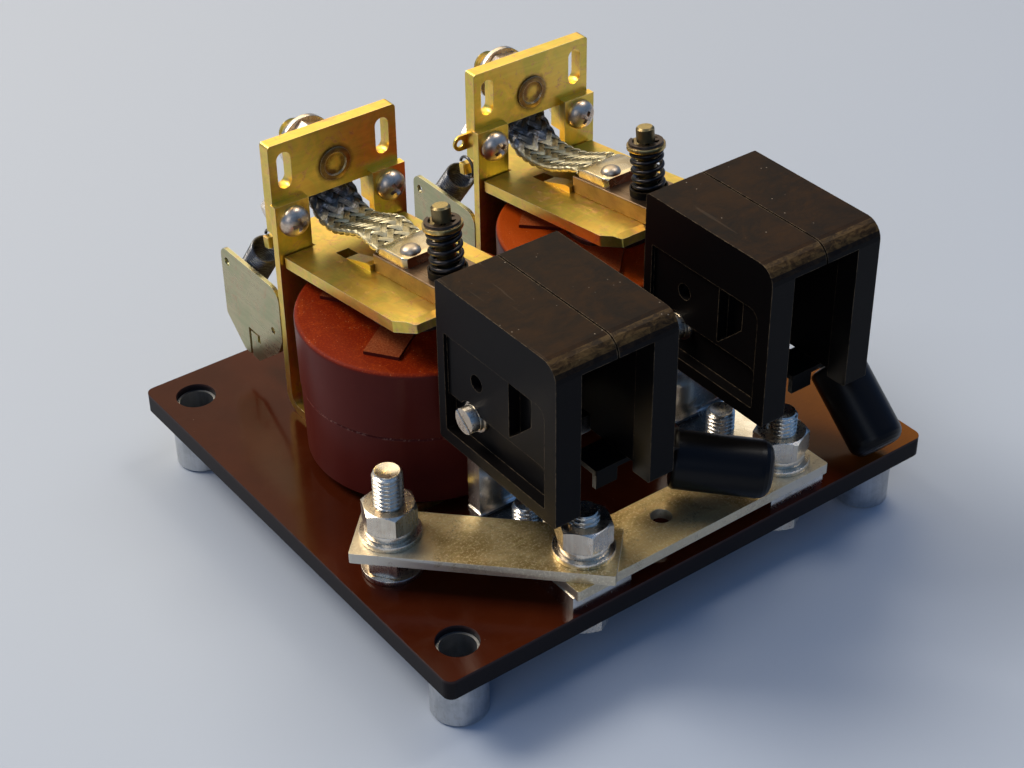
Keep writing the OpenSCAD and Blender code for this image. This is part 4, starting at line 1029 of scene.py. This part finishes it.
@dataclass(frozen=True)
class CrossScrew:
    """Pan-head screw with a cross recess, its head's seat at z = 0."""

    head_r: float
    head_h: float
    shank_r: float
    arm_share: float = 0.52
    slot_share: float = 0.13
    recess: float = 2.1

    def head(self) -> bpy.types.Object:
        """Builds the head with its recess.

        Returns:
            A loose object with the finished mesh.
        """
        rim = self.head_h * 0.12
        profile = [(self.shank_r, 0.0), (self.head_r - 0.12, 0.0), (self.head_r, 0.12), (self.head_r, rim)]
        for a in range(5, 86, 5):
            t = math.radians(a)
            profile.append((self.head_r * math.cos(t), rim + (self.head_h - rim) * math.sin(t)))
        body = Mesh()
        body.rings([circle(r, z, 64) for r, z in profile])
        solid = body.object("head")
        arm, half = self.head_r * self.arm_share, self.head_r * self.slot_share
        cutter = Mesh()
        for turn in (0, 1):
            rows = []
            for z, s in ((self.head_h - self.recess, 0.42), (self.head_h + 0.3, 1.08)):
                rows.append([(-arm * s, -half, z), (arm * s, -half, z), (arm * s, half, z), (-arm * s, half, z)])
            cutter.rings(rows, Matrix.Rotation(math.pi / 2 * turn, 4, "Z"))
        cut = solid.modifiers.new("recess", "BOOLEAN")
        cut.operation = "DIFFERENCE"
        cut.use_self = True
        cut.object = cutter.object("cutter")
        bpy.context.view_layer.update()
        data = bpy.data.meshes.new_from_object(solid.evaluated_get(bpy.context.evaluated_depsgraph_get()))
        bpy.data.objects.remove(cut.object)
        solid.modifiers.clear()
        solid.data = data
        return solid


# ---------------------------------------------------------------- sizes shared with the solids


@dataclass(frozen=True)
class Layout:
    """Places that the solids give, in millimetres."""

    board_low: float = 16.0
    board_top: float = 22.0
    pitch: float = 66.0
    shift: float = 2.7
    contact_x: float = -1.7
    stud_y: float = -66.0
    screw_y: float = -42.7
    hinge_y: float = 42.75
    hinge_z: float = 68.4
    open_angle: float = 7.9
    arm_top: float = 8.5
    yoke_front: float = 41.5
    plate_front: float = 44.0
    plate_back: float = 48.0
    rear_stud_z: float = 92.9
    plate_screw_x: float = 15.4
    plate_screw_z: float = 82.0
    yoke_screw_x: float = 12.0
    yoke_screw_y: float = 31.5

    def unit_x(self, i: int) -> float:
        """Centre of unit 0 or 1 along X."""
        return self.shift + (i - 0.5) * self.pitch

    def armature_height(self, graph: Graph) -> Signal:
        """Height over the open armature's own level.

        Args:
            graph: The material's graph.

        Returns:
            The height in metres as a shader value.
        """
        a = math.radians(self.open_angle)
        y, z = graph.at(Axis.Y) - self.hinge_y * MM, graph.at(Axis.Z) - self.hinge_z * MM
        return y * math.sin(a) + z * math.cos(a)

    def armature(self, i: int) -> Matrix:
        """The open armature's frame on its knife edge."""
        tilt = Matrix.Rotation(math.radians(-self.open_angle), 4, "X")
        return moved(self.unit_x(i), self.hinge_y, self.hinge_z) @ tilt

    def lifted(self, y: float, z: float) -> Pair:
        """A point of the open armature's frame, in Y and Z of the part."""
        a = math.radians(self.open_angle)
        return (self.hinge_y + y * math.cos(a) + z * math.sin(a), self.hinge_z - y * math.sin(a) + z * math.cos(a))


LAYOUT = Layout()


def bent(points: list[Pair], radii: tuple[float, ...], n: int = 8) -> list[Pair]:
    """Open path with a radius at each inner corner.

    Args:
        points: Its corners.
        radii: A radius for each inner corner.
        n: Steps of an arc.

    Returns:
        The path's points.
    """
    out = [points[0]]
    for i, radius in enumerate(radii, 1):
        p, q, s = (Vector(points[j]) for j in (i - 1, i, i + 1))
        a, b = (p - q).normalized(), (s - q).normalized()
        half = math.acos(max(-1.0, min(1.0, a.dot(b)))) / 2
        middle = q + (a + b).normalized() * radius / math.sin(half)
        start, end = (q + side * radius / math.tan(half) - middle for side in (a, b))
        begin = math.atan2(start.y, start.x)
        turn = (math.atan2(end.y, end.x) - begin + math.pi) % math.tau - math.pi
        for j in range(n + 1):
            x, y, _ = polar(radius, begin + turn * j / n, 0)
            out.append((middle.x + x, middle.y + y))
    return out + [points[-1]]


def resampled(path: list[Pair], step: float) -> tuple[np.ndarray, np.ndarray]:
    """Even points and tangents along a flat path.

    Args:
        path: The path.
        step: Wanted distance between points.

    Returns:
        The points and their unit tangents.
    """
    p = np.array(path)
    s = np.concatenate([[0], np.cumsum(np.linalg.norm(np.diff(p, axis=0), axis=1))])
    t = np.linspace(0, s[-1], int(s[-1] / step) + 2)
    q = np.stack([np.interp(t, s, p[:, k]) for k in (0, 1)], axis=1)
    d = np.gradient(q, axis=0)
    for _ in range(3):
        d[1:-1] = (d[:-2] + 2 * d[1:-1] + d[2:]) / 4
    return q, d / np.linalg.norm(d, axis=1, keepdims=True)


# ---------------------------------------------------------------- sub-assemblies


@dataclass
class Hardware:
    """Threaded studs, bolts and screws that stand for the plain ones of the frame."""

    finishes: Finishes
    m8: Thread = Thread(4.0, 1.25)
    m4: Thread = Thread(2.0, 0.7, 28)
    hexagon: HexHead = HexHead(13.0, 5.3)
    plate_screw: CrossScrew = CrossScrew(4.4, 3.7, 2.0)
    yoke_screw: CrossScrew = CrossScrew(4.4, 3.0, 2.5)
    supply_stud: Point = (-66.5, -31.5, 53.0)
    front_top: float = 46.0
    foot_top: float = 33.0
    thread_under: float = 2.0
    rear_len: float = 23.0
    rear_plain: float = 4.0
    plate_screw_len: float = 11.3
    plate_screw_plain: float = 6.5
    yoke_bite: float = 2.5
    staked: tuple[Pair, ...] = (
        (3.95, 0.3), (4.8, 0.0), (4.8, -0.45), (4.4, -0.6), (3.4, -0.6), (3.15, -0.32), (2.4, -0.2), (1.0, -0.3),
    )

    def bolts(self, node: str, places: list[Point]) -> None:
        """Builds bolts that come up through the board.

        Args:
            node: The node that they stand for.
            places: Each bolt's place in X and Y, and the height of its end.
        """
        mesh = Mesh()
        plain_to = LAYOUT.board_top - self.thread_under
        for x, y, top in places:
            mesh.rings(self.hexagon.rows(LAYOUT.board_low - self.hexagon.height), moved(x, y, 0))
            mesh.rings(self.m8.rows(LAYOUT.board_low, top, plain_to, 0.5), moved(x, y, 0))
        self.finishes.mount(mesh.object(f"{node}_threaded"), "bright_zinc", "base", node)

    def rear_studs(self) -> None:
        """Builds the rear studs with their staked heads."""
        mesh = Mesh()
        for i in (0, 1):
            place = moved(LAYOUT.unit_x(i), LAYOUT.plate_front, LAYOUT.rear_stud_z, facing_y(1))
            mesh.rings(self.m8.rows(0.0, self.rear_len, self.rear_plain, 0.4), place)
            mesh.rings([circle(r, z, 48) for r, z in self.staked], place)
        self.finishes.mount(mesh.object("rear_studs_threaded"), "gold_zinc", "base", "rear_studs")

    def screw(self, kind: CrossScrew, seat: Matrix, shank: list[Ring], place: Matrix) -> list[bpy.types.Object]:
        """Makes a screw's head and shank as loose objects.

        Args:
            kind: The head's sizes.
            seat: Where the head goes.
            shank: The shank's rings.
            place: Where the shank goes.

        Returns:
            The two objects.
        """
        head, body = kind.head(), Mesh()
        seat.translation = seat.translation * MM
        head.data.transform(seat)
        body.rings(shank, place)
        return [head, body.object("shank")]

    def crossed(self, node: str, finish: str, parts: list[bpy.types.Object]) -> None:
        """Joins screws with a cross recess to one piece.

        Args:
            node: The node that they stand for.
            finish: Their finish.
            parts: Their heads and shanks.
        """
        piece = joined(f"{node}_crossed", parts)
        smooth(piece, 32)
        self.finishes.mount(piece, finish, "base", node)

    def build(self) -> None:
        """Builds every screw and stud."""
        contacts = [LAYOUT.unit_x(i) + LAYOUT.contact_x for i in (0, 1)]
        self.bolts("terminal_bolts", [*((x, LAYOUT.stud_y, self.front_top) for x in contacts), self.supply_stud])
        self.bolts("contact_screws", [(x, LAYOUT.screw_y, self.foot_top) for x in contacts])
        self.rear_studs()
        parts = []
        for i, side in product((0, 1), Side):
            at = (LAYOUT.unit_x(i) + side.value * LAYOUT.plate_screw_x, LAYOUT.yoke_front, LAYOUT.plate_screw_z)
            turn = Matrix.Rotation(math.radians(17 + 31 * i + 12 * side.value), 4, "Z")
            shank = self.m4.rows(0.0, self.plate_screw_len, self.plate_screw_plain, 0.1)
            parts += self.screw(self.plate_screw, moved(*at, facing_y(-1)) @ turn, shank, moved(*at, facing_y(1)))
        self.crossed("plate_screws", "nickel", parts)
        parts, ends = [], (LAYOUT.board_low, LAYOUT.board_top + self.yoke_bite)
        for i, side in product((0, 1), Side):
            x, y = LAYOUT.unit_x(i) + side.value * LAYOUT.yoke_screw_x, LAYOUT.yoke_screw_y
            seat = moved(x, y, LAYOUT.board_low) @ Matrix.Rotation(math.pi, 4, "X")
            shank = [circle(self.yoke_screw.shank_r, z, 24) for z in ends]
            parts += self.screw(self.yoke_screw, seat, shank, moved(x, y, 0))
        self.crossed("yoke_screws", "bright_zinc", parts)


@dataclass
class Springs:
    """Smooth round wires in place of the faceted springs."""

    finishes: Finishes
    post_y: float = -52.6
    contact_wire: float = 1.4
    contact_r: float = 3.95
    contact_low: float = 9.7
    contact_high: float = 21.7
    contact_curls: float = 4.9
    contact_play: float = 0.05
    closed_share: float = 0.19
    closed_pitch: float = 1.06
    return_wire: float = 0.9
    return_r: float = 4.1
    return_curls: int = 14
    return_x: float = -14.7
    return_top: Pair = (12.9, 1.9)
    return_foot: Pair = (71.3, 47.9)
    hook_r: float = 3.1
    rise: float = 2.2
    held: float = 4.0

    def contact(self, i: int) -> None:
        """Builds the contact spring of a unit.

        Args:
            i: The unit.
        """
        start = self.contact_low + self.contact_wire / 2 + self.contact_play
        end = self.contact_high - self.contact_wire / 2 - self.contact_play
        steps = int(self.contact_curls * 32)
        ends = self.closed_share * self.contact_curls * self.contact_wire * self.closed_pitch
        place = LAYOUT.armature(i) @ moved(0, self.post_y, 0)
        path = []
        for s in range(steps + 1):
            f = s / steps
            ease = min(1.0, max(0.0, (f - self.closed_share) / (1 - 2 * self.closed_share)))
            closed = min(f, self.closed_share) + max(0.0, f - 1 + self.closed_share)
            z = start + ends * closed / self.closed_share + (end - start - 2 * ends) * ease
            path.append(place @ Vector(polar(self.contact_r, math.tau * self.contact_curls * f, z)))
        mesh = Mesh()
        mesh.rings(tube_rings(path, self.contact_wire / 2, self.contact_wire / 2, 12))
        name = UNITS[i]
        piece = mesh.object(f"contact_spring_wire_{name}", 60)
        self.finishes.mount(piece, "spring_wire", f"armature_{name}", f"contact_spring_{name}")
        axis = place.to_3x3() @ Vector((0, 0, 1))
        anchor = place @ Vector((0, 0, self.contact_high)) * MM
        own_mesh(piece)

    def tension(self, i: int) -> None:
        """Builds the return spring of a unit.

        Args:
            i: The unit.
        """
        top_y, top_z = LAYOUT.lifted(*self.return_top)
        foot_y, foot_z = self.return_foot
        rise_y, rise_z = top_y - foot_y, top_z - foot_z
        length = math.hypot(rise_y, rise_z)
        hook = []
        for a in range(-200, 91, 10):
            y, z, x = polar(self.hook_r, math.radians(a), 0)
            hook.append(Vector((x, y, z)))
        for t in range(1, 9):
            f = t / 9
            a = math.radians(-90 + 120 * f)
            hook.append(Vector(polar(self.return_r * f, a, self.hook_r + self.rise * f * f)))
        steps, turn = self.return_curls * 26, math.radians(self.return_curls * 360 - 60)
        low, high = self.hook_r + self.rise, length - self.hook_r - self.rise
        coil = []
        for s in range(steps + 1):
            z = low + (high - low) * s / steps
            coil.append(Vector(polar(self.return_r, math.radians(30) + turn * s / steps, z)))
        other = [Vector((p.x, -p.y, length - p.z)) for p in reversed(hook)]
        x = LAYOUT.unit_x(i) + self.return_x
        place = moved(x, foot_y, foot_z) @ Matrix.Rotation(-math.atan2(rise_y, rise_z), 4, "X")
        mesh = Mesh()
        path = [place @ p for p in hook + coil + other]
        mesh.rings(tube_rings(path, self.return_wire / 2, self.return_wire / 2, 10))
        name = UNITS[i]
        piece = mesh.object(f"return_spring_wire_{name}", 60)
        self.finishes.put(piece, "return_wire")
        inset = self.held / length
        start = (x * MM, (foot_y + rise_y * inset) * MM, (foot_z + rise_z * inset) * MM)
        end = (x * MM, (top_y - rise_y * inset) * MM, (top_z - rise_z * inset) * MM)
        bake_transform(piece)
        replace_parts(piece, f"return_spring_{name}")

    def build(self) -> None:
        """Builds the springs of both units."""
        for i in (0, 1):
            self.contact(i)
            self.tension(i)


@dataclass
class Braid:
    """Flat woven braid from the moving bar to the rear stud, with its pressed front end."""

    finishes: Finishes
    width: float = 15.0
    thick: float = 1.9
    shift: float = 0.4
    tab_width: float = 14.4
    tab_x: float = 0.8
    tab_front: float = 42.3
    tab_rear: float = 30.1
    tab_thick: float = 2.9
    tab_steps: int = 14
    rivet_x: float = -2.2
    rivet_reach: float = 39.2
    rivet_r: float = 2.8
    rivet_low: float = 3.6
    carriers: int = 12
    wires: int = 7
    wire_r: float = 0.13
    lean: float = 0.78
    lift: float = 0.25
    crown: float = 0.07
    core_inset: float = 0.33
    core_points: int = 40
    margin: float = 0.3
    spacing: float = 0.5
    band_share: float = 0.84
    sway: float = 0.0012
    stray: float = 0.012
    seat_reach: float = -27.5
    end_rise: float = 7.0
    arcs: tuple[tuple[Pair, ...], ...] = (
        ((23.0, 14.9), (36.5, 9.3), (43.0, 9.5)), ((27.0, 9.2), (35.0, 7.6), (41.5, 7.6)),
    )
    wall_rise: Pair = (14.6, 13.2)
    bends: tuple[tuple[float, ...], ...] = ((10.0, 12.0, 14.0, 6.0, 2.6), (10.0, 25.0, 20.0, 8.0, 2.6))

    def path(self, i: int) -> list[Pair]:
        """The middle line of a unit's braid in Y and Z, as the solid has it.

        Args:
            i: The unit. The first one's braid arches, the second one's hangs lower.

        Returns:
            Its points from the tab to the rear stud.
        """
        seat = LAYOUT.arm_top + self.tab_thick / 2 + 0.2
        wall = LAYOUT.plate_back + self.thick / 2
        start = [LAYOUT.lifted(0.1 - self.tab_rear, seat), LAYOUT.lifted(self.seat_reach, seat)]
        middle = [(y, LAYOUT.hinge_z + rise) for y, rise in (*self.arcs[i], (wall, self.wall_rise[i]))]
        return bent([*start, *middle, (wall, LAYOUT.rear_stud_z + self.end_rise)], self.bends[i])

    @property
    def round_r(self) -> float:
        """Radius of the flattened tube's rounded edges."""
        return self.thick / 2 - self.lift - self.wire_r - 0.02

    @property
    def half_flat(self) -> float:
        """Half the width of the flattened tube's level sides."""
        return self.width / 2 - self.margin - self.round_r

    def section(self, s: float) -> tuple[float, float, float, float]:
        """Point on the flattened tube that the strands follow, with its outward normal.

        Args:
            s: Place on its outline, from 0 to 1.

        Returns:
            Offset across the width and through the thickness, and the normal's two parts.
        """
        r, half = self.round_r, self.half_flat
        flat, cap = 2 * half, math.pi * r
        d = (s % 1.0) * (2 * flat + 2 * cap)
        if d < flat:
            return half - d, r, 0.0, 1.0
        if d < flat + cap:
            a = math.pi / 2 + (d - flat) / r
            return -half + r * math.cos(a), r * math.sin(a), math.cos(a), math.sin(a)
        if d < 2 * flat + cap:
            return -half + (d - flat - cap), -r, 0.0, -1.0
        a = -math.pi / 2 + (d - 2 * flat - cap) / r
        return half + r * math.cos(a), r * math.sin(a), math.cos(a), math.sin(a)

    def laid(self, x: float, point: np.ndarray, along: np.ndarray, through: float) -> Vector:
        """A point off the middle line, across its width and through its thickness."""
        return Vector((x, point[0] - along[1] * through, point[1] + along[0] * through))

    def carry(self, mesh: Mesh, piece: str, finish: str, i: int) -> bpy.types.Object:
        """Makes a piece of a unit's braid and gives it its finish.

        Args:
            mesh: Its mesh.
            piece: Its name without the unit's letter.
            finish: Its finish.
            i: The unit.

        Returns:
            The piece.
        """
        obj = mesh.object(f"{piece}_{UNITS[i]}", 80)
        self.finishes.put(obj, finish)
        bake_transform(obj)
        return obj

    def weave(self, i: int) -> None:
        """Weaves the strands of a unit's braid round a dark core, which is painted shade inside the braid.

        Args:
            i: The unit.
        """
        rng = random.Random(11 + i)
        middle, along = resampled(self.path(i), self.spacing)
        line = list(zip(middle, along))
        step = float(np.linalg.norm(middle[1] - middle[0]))
        outline = 4 * self.half_flat + math.tau * self.round_r
        band = outline / self.carriers * self.band_share
        x0 = LAYOUT.unit_x(i) + self.shift
        mesh = Mesh()
        for way, c, w in product((1, -1), range(self.carriers), range(self.wires)):
            off = (w - (self.wires - 1) / 2) / (self.wires / 2)
            shift = off * band / outline / 2
            waves = [(rng.uniform(0.2, 0.9), rng.uniform(0, math.tau)) for _ in range(2)]
            path = []
            for k, (point, tangent) in enumerate(line):
                u = k * step
                wobble = sum(math.sin(u * f + p) for f, p in waves)
                s = c / self.carriers + shift + way * u * self.lean / outline + self.sway * wobble
                across, through, nx, nz = self.section(s)
                over = math.cos(math.pi * self.carriers * (s - shift) + math.pi / 4)
                height = way * self.lift * over + self.crown * (0.5 - off * off) + self.stray * wobble
                path.append(self.laid(x0 + (across + nx * height), point, tangent, through + nz * height))
            mesh.rings(tube_rings(path, self.wire_r, self.wire_r * 0.92, 5))
        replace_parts(self.carry(mesh, "woven_braid", "braid_wire", i), f"braid_{UNITS[i]}")
        # painted shade: a dark core under the strands, seen through the gaps of the weave
        core = Mesh()
        rows = []
        for point, tangent in line:
            row = []
            for n in range(self.core_points):
                across, through, nx, nz = self.section(n / self.core_points)
                x = x0 + (across - nx * self.core_inset)
                row.append(self.laid(x, point, tangent, through - nz * self.core_inset))
            rows.append(row)
        core.rings(rows)
        self.carry(core, "braid_shade_core", "braid_shade_core", i)

    def tab(self, i: int) -> None:
        """Presses the front end of a unit's braid into a smooth tab with its rivet.

        Args:
            i: The unit.
        """
        low, high = LAYOUT.arm_top, LAYOUT.arm_top + self.tab_thick
        front, rear = -self.tab_front, -self.tab_rear
        place = LAYOUT.armature(i)
        mesh = Mesh()
        rows = []
        for k in range(self.tab_steps + 1):
            y = front + (rear - front) * k / self.tab_steps
            ease = max(0.0, (k / self.tab_steps - 0.72) / 0.28)
            top = high - 0.5 * ease * ease
            narrow = 0.9 * max(0.0, 1 - (y - front) / 1.6) ** 2 + 0.05
            rows.append(self._tab_ring(self.tab_width / 2 - narrow, y, low + 0.02, top - (0.25 if k == 0 else 0.0)))
        mesh.rings(rows, place @ moved(self.tab_x, 0, 0))
        at_rivet = place @ moved(self.rivet_x, -self.rivet_reach, 0)
        dome = [(self.rivet_r - 0.2, high - 0.2), (self.rivet_r, high - 0.05)]
        for a in range(0, 86, 7):
            t = math.radians(a)
            dome.append((self.rivet_r * math.cos(t) ** 0.85, high + 1.85 * math.sin(t)))
        dome.append((0.15, high + 1.86))
        mesh.rings([circle(r, z, 40) for r, z in dome], at_rivet)
        mesh.rings([circle(2.0, z, 24) for z in (self.rivet_low, low + 1)], at_rivet)
        name = UNITS[i]
        self.finishes.mount(mesh.object(f"braid_tab_{name}", 40), "pressed_tab", f"arm_{name}", f"braid_lug_{name}")

    def _tab_ring(self, half: float, y: float, low: float, top: float) -> Ring:
        """Rounded section of the tab across X.

        Args:
            half: Half its width.
            y: Place along Y.
            low: Height of the underside.
            top: Height of the upper side.

        Returns:
            The ring.
        """
        out = []
        corners = ((half, top, 0, 0.45), (-half, top, 90, 0.45), (-half, low, 180, 0.12), (half, low, 270, 0.12))
        for (cx, cz, start, r), a in product(corners, range(0, 91, 18)):
            t = math.radians(start + a)
            x = cx - math.copysign(r, cx) + r * math.cos(t)
            out.append((x, y, cz + (-r if cz == top else r) + r * math.sin(t)))
        return out

    def build(self) -> None:
        """Builds both braids."""
        for i in (0, 1):
            self.weave(i)
            self.tab(i)


@dataclass
class Solids:
    """Finishes and softened edges, in millimetres, of the nodes that keep their own shape."""

    finishes: Finishes
    shared: dict[str, tuple[str, float]] = field(
        default_factory=lambda: {
            "base_board": ("board_laminate", 0.25),
            "spacer_feet": ("turned_aluminium", 0.0),
            "terminal_nuts": ("bright_zinc", 0.0),
            "flat_washers": ("bright_zinc", 0.12),
            "spring_washers": ("bright_zinc", 0.12),
            "link_bar_supply": ("tinned_bar", 0.2),
            "link_bar_front": ("tinned_bar", 0.2),
            "plate_nuts": ("bright_zinc", 0.0),
            "rear_nuts": ("warm_zinc", 0.0),
            "chute_screws": ("bright_zinc", 0.12),
            "solder_tag": ("gold_zinc", 0.1),
        }
    )
    unit: dict[str, tuple[str, float]] = field(
        default_factory=lambda: {
            "yoke": ("gold_zinc_upright", 0.2),
            "coil": ("coil_resin", 0.0),
            "core": ("plain_steel", 0.0),
            "spring_bracket": ("pale_zinc", 0.12),
            "terminal_plate": ("gold_zinc", 0.3),
            "fixed_contact": ("fixed_tin", 0.3),
            "fixed_tip": ("silver_tip", 0.15),
            "chute_left": ("chute_black", 0.25),
            "chute_right": ("chute_black", 0.25),
            "grip_bracket": ("black_steel", 0.12),
            "armature": ("gold_zinc_long", 0.25),
            "spring_post": ("dull_brass", 0.0),
            "post_clip": ("clip_brass", 0.08),
            "contact_arm": ("tinned_bar_long", 0.3),
            "moving_tip": ("silver_tip", 0.15),
            "spring_cup": ("black_steel", 0.0),
            "grip": ("grip_black", 0.0),
        }
    )

    def dress(self, node: str, finish: str, edge_mm: float) -> None:
        """Dresses one node.

        Args:
            node: Its name.
            finish: Its finish.
            edge_mm: Width of the softened edges.
        """
        obj = frame["nodes"][node]
        self.finishes.put(obj, finish)
        if edge_mm:
            obj.modifiers.new("weld", "WELD").merge_threshold = 1e-6
            bevel = obj.modifiers.new("edge", "BEVEL")
            bevel.width = edge_mm * MM
            bevel.segments = 2
            bevel.limit_method = "ANGLE"
            bevel.angle_limit = math.radians(38)
            bevel.harden_normals = True
            bevel.use_clamp_overlap = True

    def build(self) -> None:
        """Dresses every kept node."""
        for node, look in self.shared.items():
            self.dress(node, *look)
        for name, (node, look) in product(UNITS, self.unit.items()):
            self.dress(f"{node}_{name}", *look)


@dataclass
class Studio:
    """Table, light and camera of the photograph, in metres."""

    finishes: Finishes
    place: Point = (-0.27101, -0.36162, 0.35695)
    right: Point = (0.80057625, -0.59912725, -0.01114478)
    down: Point = (-0.35709538, -0.4620638, -0.81177579)
    look: Point = (0.4812074, 0.65386817, -0.58386288)
    lens: float = 70.5
    aim: Point = (0.0, 0.0, 0.03)
    glow_at: Point = (0.20, 0.72, 0.665)
    dim: Colour = (0.080, 0.168, 0.36)
    halo: Colour = (0.25, 0.27, 0.31)
    glow: Colour = (1.85, 1.62, 1.2)
    warm: Colour = (1.0, 0.95, 0.87)
    cool: Colour = (0.92, 0.96, 1.0)

    def camera(self) -> None:
        """Sets the camera at the photograph's viewpoint."""
        data = bpy.data.cameras.new("camera")
        data.lens, data.sensor_width = self.lens, 36.0
        data.clip_start, data.clip_end = 0.01, 20.0
        obj = bpy.data.objects.new("camera", data)
        bpy.context.scene.collection.objects.link(obj)
        columns = (self.right, tuple(-c for c in self.down), tuple(-c for c in self.look))
        obj.matrix_world = Matrix.Translation(self.place) @ Matrix(columns).transposed().to_4x4()
        bpy.context.scene.camera = obj

    def table(self) -> None:
        """Lays the table top."""
        bpy.ops.mesh.primitive_plane_add(size=8.0, location=(0, 0, -0.0002))
        floor = bpy.context.object
        floor.name = "table"
        self.finishes.put(floor, "table_top")

    def lamp(self, name: str, place: Point, size: float, power: float, colour: Colour) -> None:
        """Hangs a soft square lamp that points at the board.

        Args:
            name: Its name.
            place: Where it hangs.
            size: Its side.
            power: Its power in watts.
            colour: Its colour.
        """
        data = bpy.data.lights.new(name, "AREA")
        data.size, data.energy, data.color = size, power, colour
        obj = bpy.data.objects.new(name, data)
        obj.location = place
        obj.rotation_mode = "QUATERNION"
        obj.rotation_quaternion = (Vector(self.aim) - Vector(place)).to_track_quat("-Z", "Y")
        bpy.context.scene.collection.objects.link(obj)

    def air_light(self) -> None:
        """Fills the surroundings with dim cool light and a broad warm glow behind the board."""
        bpy.context.scene.world = bpy.data.worlds.new("room")
        graph = Graph(bpy.context.scene.world)
        toward = {0: graph.node("ShaderNodeTexCoord", out="Generated"), 1: Vector(self.glow_at).normalized()}
        near = graph.node("ShaderNodeVectorMath", {"operation": "DOT_PRODUCT"}, toward, out="Value")
        stops = ((0.0, self.dim), (0.55, tuple(c * 1.3 for c in self.dim)), (0.82, self.halo), (0.955, self.glow))
        ramp = graph.node("ShaderNodeValToRGB", {"stops": stops}, {0: near})
        graph.node("ShaderNodeOutputWorld", None, {0: graph.node("ShaderNodeBackground", None, {0: ramp, 1: 1.0})})

    def build(self) -> None:
        """Sets up table, light and camera."""
        bpy.context.scene.view_settings.view_transform = "Standard"
        self.camera()
        self.table()
        self.air_light()
        self.lamp("window", (-0.75, 0.95, 1.35), 0.75, 24.0, self.warm)
        self.lamp("ceiling", (0.80, -0.05, 1.5), 0.55, 6.5, self.warm)
        self.lamp("front_fill", (-1.3, -1.0, 0.9), 0.8, 2.5, self.cool)


def main() -> None:
    """Builds the scene."""
    logging.basicConfig(level=logging.INFO)
    finishes = Finishes()
    for assembly in (Studio, Solids, Hardware, Springs, Braid):
        assembly(finishes).build()
        log.info("%s built", assembly.__name__)


if __name__ == "__main__":
    main()
